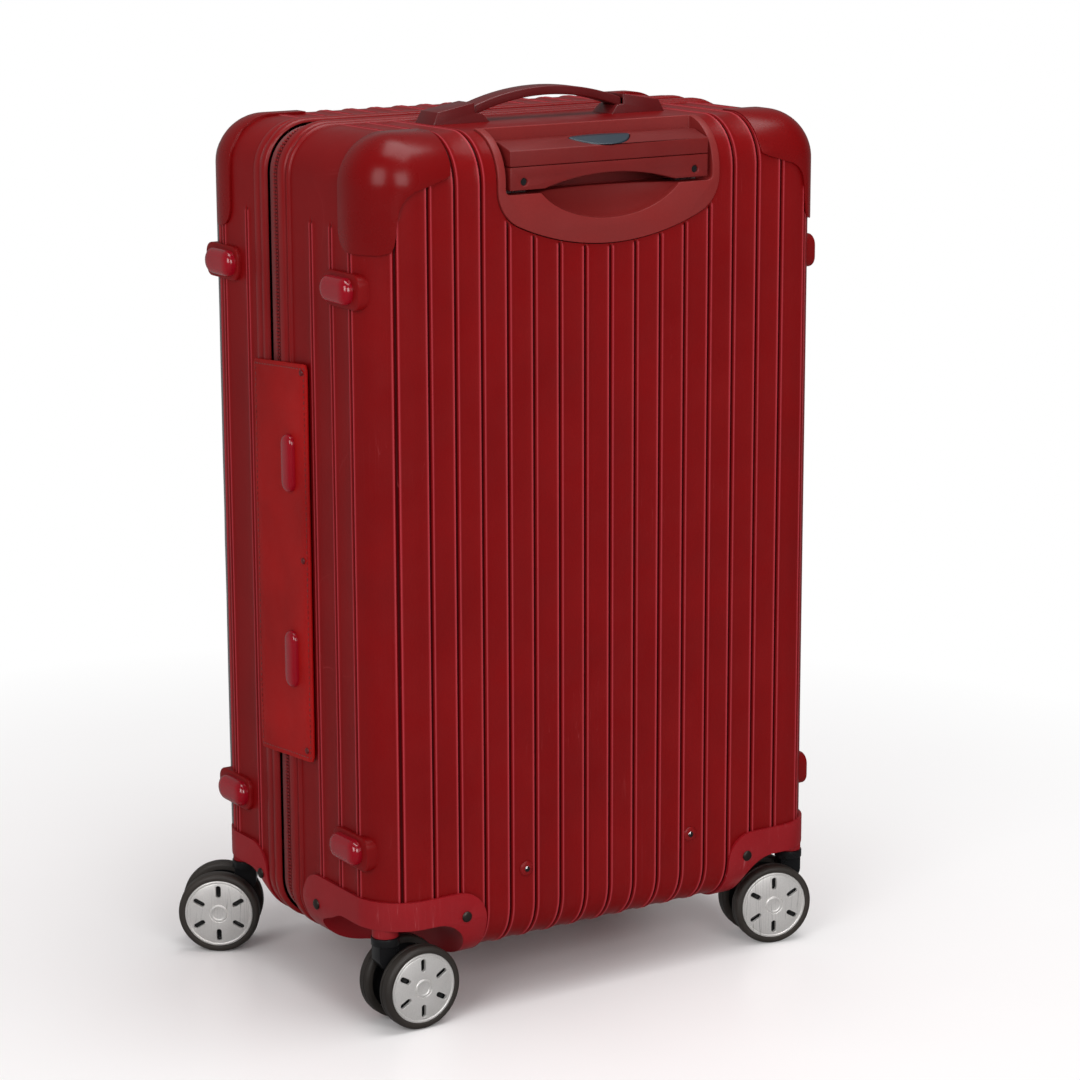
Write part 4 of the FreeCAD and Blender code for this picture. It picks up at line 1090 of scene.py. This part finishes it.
trayPiece = formBlock("handle_tray_moulding", tray["proud"], -0.13, 0.13)
carve(trayPiece, prism("tray_region", trayOutline(0.0), -0.2, -0.05), "INTERSECT")
wide, base, bend = tray["pocketHalf"], tray["pocketFloor"], tray["pocketRound"]
pocketOutline = [(wide, 0.72)] + arcPoints(wide - bend, base + bend, bend, 0, -90, 4) + \
    arcPoints(-wide + bend, base + bend, bend, -90, -180, 4) + [(-wide, 0.72)]
carve(trayPiece, prism("pocket_region", pocketOutline, -0.2, tray["pocketBack"]))
carve(trayPiece, ellipsoid("scoop_form", (0, -case["halfDepth"] - tray["proud"], scoop["centreZ"]),
                           (scoop["x"], scoop["y"], scoop["z"]), scoop["steps"], scoop["rings"]))
soften(trayPiece, 0.0011, 3, 30)
finishPiece(trayPiece, "back_half", paint["tray"], "tray", ["handle_tray"])
print("tray made:", len(trayPiece.data.polygons), "faces")

# Grip ----------------------------------------------------------------------------------

grip = {
    "half": 0.088, "low": 0.624, "high": 0.658, "front": -0.131, "rear": -0.102, "split": 0.641,
    "brow": 0.6526, "flat": -0.1140, "archHalf": 0.058, "archRise": 0.0085, "screwZ": 0.630,
    "screwX": 0.076, "lensRadius": 0.0315, "lensFront": -0.1303, "lensCorner": -0.1150,
    "lensRear": -0.1065, "seam": 0.0004,
}


def gripBlank(name, grow, low, high):
    back, front, top = grip["rear"] + grow, grip["front"] - grow, grip["high"] + grow
    outline = [(back, top), (back, grip["low"]), (front, grip["low"]),
               (front, grip["brow"] + grow), (grip["flat"], top)]
    return prism(name, outline, low, high, "X")


def slabBetween(name, low, high):
    return prism(name, [(-0.2, low), (0.2, low), (0.2, high), (-0.2, high)], -0.2, 0.0)


def lensPrism(name, grow, low, high):
    radius = grip["lensRadius"] + grow
    centre = grip["lensFront"] - grow + radius
    spread = math.degrees(math.acos(min(1, (centre - grip["lensCorner"]) / radius)))
    front = arcPoints(0, centre, radius, -90 - spread, -90 + spread, 30)
    edge = abs(front[0][0])
    bulge = grip["lensRear"] + grow - grip["lensCorner"]
    rearRadius = (edge ** 2 + bulge ** 2) / (2 * bulge)
    turn = math.degrees(math.asin(edge / rearRadius))
    rear = arcPoints(0, grip["lensCorner"] + bulge - rearRadius, rearRadius, 90 - turn, 90 + turn, 20)
    return prism(name, front + rear[1:-1], low, high, "Z")


gripTop = carve(gripBlank("grip_top", 0, -grip["half"], grip["half"]),
                slabBetween("grip_top_limit", grip["split"] + grip["seam"] / 2, 0.7), "INTERSECT")
carve(gripTop, lensPrism("lens_recess", 0.0005, 0.6502, 0.70))
soften(gripTop, 0.0010, 3, 28)
finishPiece(gripTop, "trolley_grip", paint["grip"], "grip", ["grip_upper_shell"])
gripBase = carve(gripBlank("grip_base", 0, -grip["half"], grip["half"]),
                 slabBetween("grip_base_limit", 0.6, grip["split"] - grip["seam"] / 2), "INTERSECT")
archRadius = (grip["archHalf"] ** 2 + grip["archRise"] ** 2) / (2 * grip["archRise"])
spread = math.degrees(math.asin(grip["archHalf"] / archRadius))
archOutline = [(x, z + grip["low"] + grip["archRise"] - archRadius) for x, z in
               arcPoints(0, 0, archRadius, 90 - spread, 90 + spread, 30)]
carve(gripBase, prism("arch", archOutline + [(-0.0585, 0.60), (0.0585, 0.60)], -0.2, 0.0))
for side in (-1, 1):
    drill = prism("screw_hole", [(side * grip["screwX"] + x, grip["screwZ"] + z) for x, z in
                                 arcPoints(0, 0, 0.0028, 0, 345, 23)], -0.14, -0.1282)
    carve(gripBase, drill)
soften(gripBase, 0.0009, 3, 28)
finishPiece(gripBase, "trolley_grip", paint["grip"], "grip", ["grip_lower_shell"])
lens = carve(gripBlank("release_button", 0.0004, -0.05, 0.05),
             lensPrism("lens_region", 0, 0.6500, 0.70), "INTERSECT")
soften(lens, 0.0008, 3, 30)
finishPiece(lens, "grip_button", paint["button"], "button", ["grip_button"])
print("grip made:", len(gripTop.data.polygons), len(gripBase.data.polygons), len(lens.data.polygons))

screwHead = {"radius": 0.0058, "x": 0.0762, "z": 0.1092}
washer = domeModel("washer_model", screwHead["radius"], 0.0014, 28)
pin = domeModel("pin_model", 0.0024, 0.0012, 16)
spots = [((side * screwHead["x"], -case["halfDepth"] - 0.0003, screwHead["z"]), (0, -1, 0))
         for side in (-1, 1)]
finishPiece(shade(domesAt("tube_screw_washers", washer, spots), 60), "back_half", paint["trim"],
            "shell")
spots = [((side * screwHead["x"], -case["halfDepth"] - 0.0015, screwHead["z"]), (0, -1, 0))
         for side in (-1, 1)]
finishPiece(shade(domesAt("tube_screw_pins", pin, spots), 60), "back_half", paint["steel"],
            "steel", ["tube_screws"])
for model in (washer, pin, dome):
    bpy.data.objects.remove(model)


# Carry handles --------------------------------------------------------------------------

carry = {
    "topY": -0.038, "sideY": -0.064, "halfMount": 0.0135, "lean": 0.0028, "mountTall": 0.0146,
    "mount": ((0.1040, -0.0004), (0.0995, 0.0090), (0.0670, 0.0146), (0.0670, 0.0070),
              (0.0610, 0.0064), (0.0570, 0.0022), (0.0545, -0.0004)),
    "slot": (0.0660, 0.0752, 0.0019, 0.0112), "halfStrap": 0.0090, "slack": 0.0004,
    "chord": 0.0600, "under": 0.0070, "rise": 0.0100, "thick": 0.0068, "end": 0.0666,
    "tongue": (0.0740, 0.0024, 0.0068),
}


def handleMount(name, side):
    taper, half = carry["lean"] / carry["mountTall"], carry["halfStrap"] + carry["slack"]
    rings = [[(side * x, way * (carry["halfMount"] - taper * max(0, z)), z)
              for x, z in carry["mount"]] for way in (-1, 1)]
    x0, x1, z0, z1 = carry["slot"]
    outline = [(side * x, z) for x, z in ((x0, z0), (x1, z0), (x1, z1), (x0, z1))]
    return carve(ringMesh(name, rings), prism(name + "_slot", outline, -half, half))


def handleStrap(name):
    radius = (carry["chord"] ** 2 + carry["rise"] ** 2) / (2 * carry["rise"])
    centre = carry["under"] + carry["rise"] - radius
    outer = radius + carry["thick"]
    ends = [math.degrees(math.acos(carry["end"] / r)) for r in (outer, radius)]
    tip, low, high = carry["tongue"]
    outline = arcPoints(0, centre, outer, 180 - ends[0], ends[0], 40)
    outline += [(carry["end"], high), (tip, high), (tip, low), (carry["end"] - 0.0002, low)]
    outline += arcPoints(0, centre, radius, ends[1], 180 - ends[1], 40)
    outline += [(-carry["end"] + 0.0002, low), (-tip, low), (-tip, high), (-carry["end"], high)]
    return prism(name, outline, -carry["halfStrap"], carry["halfStrap"])


stands = {
    "top": Matrix.Translation((0, carry["topY"], case["top"])),
    "side": Matrix.Translation((case["halfWidth"], carry["sideY"], case["middleZ"])) @
    Matrix.Rotation(math.pi / 2, 4, "Y"),
}
for place, stand in stands.items():
    settled = Matrix.Translation(caseOrigin) @ stand @ Matrix.Translation(-caseOrigin)
    mounts = moved(joinPieces(place + "_mounts", [handleMount("mount", side) for side in (-1, 1)]),
                   settled)
    soften(mounts, 0.0009, 3, 30)
    finishPiece(mounts, "back_half", paint["handle"], "handle", [place + "_handle_mounts"])
    strap = moved(handleStrap(place + "_strap"), settled)
    soften(strap, 0.0014, 3, 30)
    finishPiece(strap, place + "_handle", paint["handle"], "handle", [place + "_handle_strap"])
for name, node, soft, material, body, slot in (
        ("lock_housing", "lock_case", 0.0006, "lock", "back_half", "lock"),
        ("lock_push_button", "lock_button", 0.0004, "steel", "lock_button", "lock")):
    piece = cadCopy(name, node)
    soften(piece, soft, 2, 35)
    finishPiece(piece, body, paint[material], slot, [node])
print("carry handles and lock made")


# Lining, divider and packing straps -------------------------------------------------------

lining = {"inset": 0.0037, "backY": -0.0975, "frontY": 0.1255, "backLip": 0.004, "frontLip": 0.028,
          "cloth": 0.0011, "pucker": 0.0007, "gap": 0.0003, "bend": 0.012, "insets":
          (0.02, 0.05, 0.09, 0.13, 0.165), "spanX": 0.19, "spanZ": 0.30, "wellX": 0.124,
          "wellY": 0.046, "wellTop": 0.095, "wellLow": 0.052, "wellFar": 0.196, "panel": 0.0012}


def ruffleAt(x, y, z):
    return abs(lining["pucker"] * smoothNoise(Vector((x, y, z)))) + lining["gap"]


def clothForm(name, sign, lip, depthY):
    radius = case["round"] - lining["inset"] - 0.0004
    stations = [(px + nx * radius, pz + nz * radius, nx, nz) for px, pz, nx, nz in rimStations(10)]
    bend, edge, middle = lining["bend"], abs(depthY) - lining["bend"], case["middleZ"]
    rows = [(lip + (edge - lip) * i / 16, 0.0) for i in range(17)]
    rows += [(edge + bend * math.sin(a), bend * (1 - math.cos(a)))
             for a in (math.radians(15 * i) for i in range(1, 7))]
    rings = []
    for y, inset in rows:
        depths = [inset + ruffleAt(x * 30, y * 60, z * 30) for x, z, nx, nz in stations]
        rings.append([(x - nx * depth, sign * y, z - nz * depth)
                      for (x, z, nx, nz), depth in zip(stations, depths)])
    for inset in lining["insets"]:
        shareX, shareZ = (1 - (inset + bend) / lining[span] for span in ("spanX", "spanZ"))
        depths = [(ruffleAt(x * 24, 7, z * 24) - lining["gap"]) * shareX + lining["gap"]
                  for x, z, nx, nz in stations]
        rings.append([(x * shareX, sign * (rows[-1][0] - depth), middle + (z - middle) * shareZ)
                      for (x, z, nx, nz), depth in zip(stations, depths)])
    return ringMesh(name, rings, first=False, merge=1e-5)


for half, sign, lip, deep in (("back", -1, -lining["backLip"], lining["backY"]),
                              ("front", 1, lining["frontLip"], lining["frontY"])):
    cloth = clothForm(half + "_lining_cloth", sign, lip, deep)
    covers = []
    wellY = lining["wellY"] - (guard["wider"] + 0.001 if sign < 0 else 0)
    for side in (-1, 1):
        outline = [(side * lining["wellX"], 0), (side * 0.3, 0), (side * 0.3, lining["wellTop"]),
                   (side * lining["wellX"], lining["wellTop"])]
        covers.append(prism("cover", outline, sign * wellY, sign * 0.3))
    wall = cloth.modifiers.new("cloth", "SOLIDIFY")
    wall.thickness, wall.offset = lining["cloth"], 1 if sign < 0 else -1
    settle(cloth)
    for piece in covers:
        carve(cloth, piece)
    boxes, t = [], lining["panel"]
    x0, x1, z0, z1 = lining["wellX"] - t, lining["wellFar"], lining["wellLow"], lining["wellTop"] + t
    y0, y1 = wellY - t, abs(deep) - 0.0002
    for side in (-1, 1):
        for xa, xb, ya, yb, za, zb in ((x0, x1, y0, y1, z1 - t, z1), (x0, x0 + t, y0, y1, z0, z1),
                                       (x0, x1, y0, y0 + t, z0, z1)):
            outline = [(side * xa, za), (side * xb, za), (side * xb, zb), (side * xa, zb)]
            piece = prism("panel", outline, sign * ya, sign * yb)
            boxes.append(carve(soften(piece, 0.0004, 2, 40), insideForm(0.0036), "INTERSECT"))
    finishPiece(joinPieces(half + "_well_covers", boxes), half + "_half", paint["lining"], "lining")
    finishPiece(shade(cloth, 50), half + "_half", paint["lining"], "lining", [half + "_lining"])

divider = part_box("divider_panel")
dividerLow, dividerHigh = divider[0] - caseOrigin, divider[1] - caseOrigin
midY = (dividerLow.y + dividerHigh.y) / 2


def pad(name, halfX, halfZ, bend, thick, centre):
    levels = [(0.0015, -thick / 2), (0.0, -thick / 4), (0.0, thick / 4), (0.0015, thick / 2)]
    return stack(name, softRectangle(halfX, halfZ, bend), levels,
                 lambda u, v, h: (centre[0] + u, centre[1] + h, centre[2] + v))


panelHalfX, panelHalfZ = (dividerHigh.x - dividerLow.x) / 2, (dividerHigh.z - dividerLow.z) / 2
middleZ = (dividerHigh.z + dividerLow.z) / 2
panelCloth = pad("divider_cloth", panelHalfX - 0.001, panelHalfZ - 0.001, 0.030, 0.0012,
                 (0, midY, middleZ))
finishPiece(panelCloth, "front_half", paint["lining"], "lining", ["divider_panel"])
borderRing = pad("divider_border", panelHalfX - 0.0005, panelHalfZ - 0.0005, 0.030, 0.0020,
                 (0, midY, middleZ))
carve(borderRing, pad("border_hole", panelHalfX - 0.022, panelHalfZ - 0.022, 0.02, 0.01,
                      (0, midY, middleZ)))
finishPiece(shade(borderRing, 40), "front_half", paint["strap"], "lining")
webbing = {"half": 0.0125, "thick": 0.0014, "y": -0.062}
straps = []
for side in (-1, 1):
    run = pad("strap", webbing["half"], 0.236, 0.002, webbing["thick"], (0, 0, 0))
    lean = Matrix.Rotation(math.radians(side * 28), 4, "Y")
    run.data.transform(Matrix.Translation(-caseOrigin))
    spot = Vector((0, webbing["y"] + side * 0.0009, case["middleZ"]))
    straps.append(moved(run, Matrix.Translation(caseOrigin + spot) @ lean))
strapPair = joinPieces("packing_straps", straps)
finishPiece(shade(strapPair, 40), "back_half", paint["strap"], "lining")
buckle = pad("strap_buckle", 0.024, 0.019, 0.006, 0.009, (0, webbing["y"], case["middleZ"]))
finishPiece(buckle, "back_half", paint["socket"], "socket")
print("lining made")

# CAD nodes that keep their shape ------------------------------------------------------------

kept = {
    "outer_tubes": "tube", "middle_tubes": "tube", "inner_tubes": "tube", "tube_sockets": "socket",
    "grip_screws": "darkPin", "button_spring": "steel", "release_rods": "steel",
    "lock_dial_lower": "dial", "lock_dial_middle": "dial", "lock_dial_upper": "dial",
    "zip_slider_upper": "zipMetal", "zip_slider_lower": "zipMetal",
    "pull_tab_upper": "zipMetal", "pull_tab_lower": "zipMetal",
}
kept.update({name + "_caster_axle": "steel" for name in corners})
for node, material in kept.items():
    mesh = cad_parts[node].data
    mesh.materials.clear()
    mesh.materials.append(paint[material])


# Camera, floor and light ------------------------------------------------------------------------

camera = {"lens": 108.26, "yaw": 33.138, "pitch": 12.749, "roll": -0.171,
          "from": (-1.35006, -case["halfDepth"] - 1.97170, 0.89559)}
yaw, pitch, roll = (math.radians(camera[key]) for key in ("yaw", "pitch", "roll"))
ahead = Vector((math.sin(yaw) * math.cos(pitch), math.cos(yaw) * math.cos(pitch), -math.sin(pitch)))
right = Vector((math.cos(yaw), -math.sin(yaw), 0))
up = right.cross(ahead)
right, up = (math.cos(roll) * right + math.sin(roll) * up,
             -math.sin(roll) * right + math.cos(roll) * up)
lensData = bpy.data.cameras.new("camera")
lensData.lens, lensData.sensor_width = camera["lens"], 36
lensData.clip_start, lensData.clip_end = 0.05, 60
view = addObject("camera", lensData)
place = Matrix((right, up, -ahead)).transposed().to_4x4()
view.matrix_world = Matrix.Translation(caseOrigin + Vector(camera["from"])) @ place
bpy.context.scene.camera = view

floorMesh = bpy.data.meshes.new("floor")
reach = 14
floorMesh.from_pydata([(-reach, -reach, 0), (reach, -reach, 0), (reach, reach, 0),
                       (-reach, reach, 0)], [], [(0, 1, 2, 3)])
floor = addObject("floor", floorMesh)
floorPaint = Nodes("paleFloor")
tone = floorPaint.ramp(floorPaint.noise(3, 2), ((0.3, (0.92, 0.89, 0.89)),
                                                (0.7, (0.95, 0.925, 0.925))))
floorPaint.feed(floorPaint.shader, Base_Color=tone, Roughness=0.32, Specular_IOR_Level=0.35)
spread = floorPaint.add("ShaderNodeMapping", Location=(0.04, -0.02, 0), Scale=(0.62, 0.62, 0.62),
                        Vector=floorPaint.place)
glow = floorPaint.add("ShaderNodeTexGradient", gradient_type="SPHERICAL",
                      Vector=spread.outputs["Vector"])
white = floorPaint.add("ShaderNodeEmission")
blend = floorPaint.add("ShaderNodeMixShader")
floorPaint.link(floorPaint.ramp(glow.outputs["Fac"], ((0.40, 1.0), (0.90, 0.0))), blend.inputs[0])
floorPaint.link(floorPaint.shader.outputs["BSDF"], blend.inputs[1])
floorPaint.link(white.outputs["Emission"], blend.inputs[2])
floorPaint.link(blend.outputs["Shader"], floorPaint.tree.nodes["Material Output"].inputs["Surface"])
floorMesh.materials.append(floorPaint.material)
floor.visible_glossy = False

studio = {"seen": 1.0, "ambient": 0.50, "dark": 0.015, "bright": 0.22}


def studioWorld():
    world = bpy.data.worlds.new("studio")
    bpy.context.scene.world = world
    world.use_nodes = True
    nodes, link = world.node_tree.nodes, world.node_tree.links.new
    rays, ways = nodes.new("ShaderNodeLightPath"), nodes.new("ShaderNodeTexCoord")
    split, wall = nodes.new("ShaderNodeSeparateXYZ"), nodes.new("ShaderNodeMapRange")
    link(ways.outputs["Generated"], split.inputs["Vector"])
    link(split.outputs["Y"], wall.inputs["Value"])
    for key, value in (("From Min", -0.1), ("From Max", 0.9), ("To Min", studio["dark"]),
                       ("To Max", studio["bright"])):
        wall.inputs[key].default_value = value
    shares = []
    for ray, value in (("Is Diffuse Ray", studio["ambient"]), ("Is Camera Ray", studio["seen"])):
        mix = nodes.new("ShaderNodeMix")
        mix.inputs[3].default_value = value
        link(rays.outputs[ray], mix.inputs[0])
        link(shares[-1].outputs[0] if shares else wall.outputs["Result"], mix.inputs[2])
        shares.append(mix)
    link(shares[-1].outputs[0], nodes["Background"].inputs["Strength"])
    nodes["Background"].inputs["Color"].default_value = (1, 1, 1, 1)


studioWorld()
bpy.context.scene.view_settings.view_transform = "Standard"


def softLight(name, centre, target, size, watts, tall=None):
    data = bpy.data.lights.new(name, "AREA")
    data.shape = "RECTANGLE"
    data.size, data.size_y, data.energy = size, tall or size, watts
    lamp = addObject(name, data)
    lamp.location = centre
    lamp.rotation_euler = (Vector(target) - Vector(centre)).to_track_quat("-Z", "Y").to_euler()


softLight("key", (-2.7, -1.6, 1.9), (0, 0, 0.4), 1.4, 36, 1.8)
softLight("top", (0.3, -0.3, 2.8), (0, 0, 0.3), 1.8, 42)
softLight("front", (-0.5, -3.2, 1.7), (0, 0, 0.35), 1.5, 36)

print("scene made")
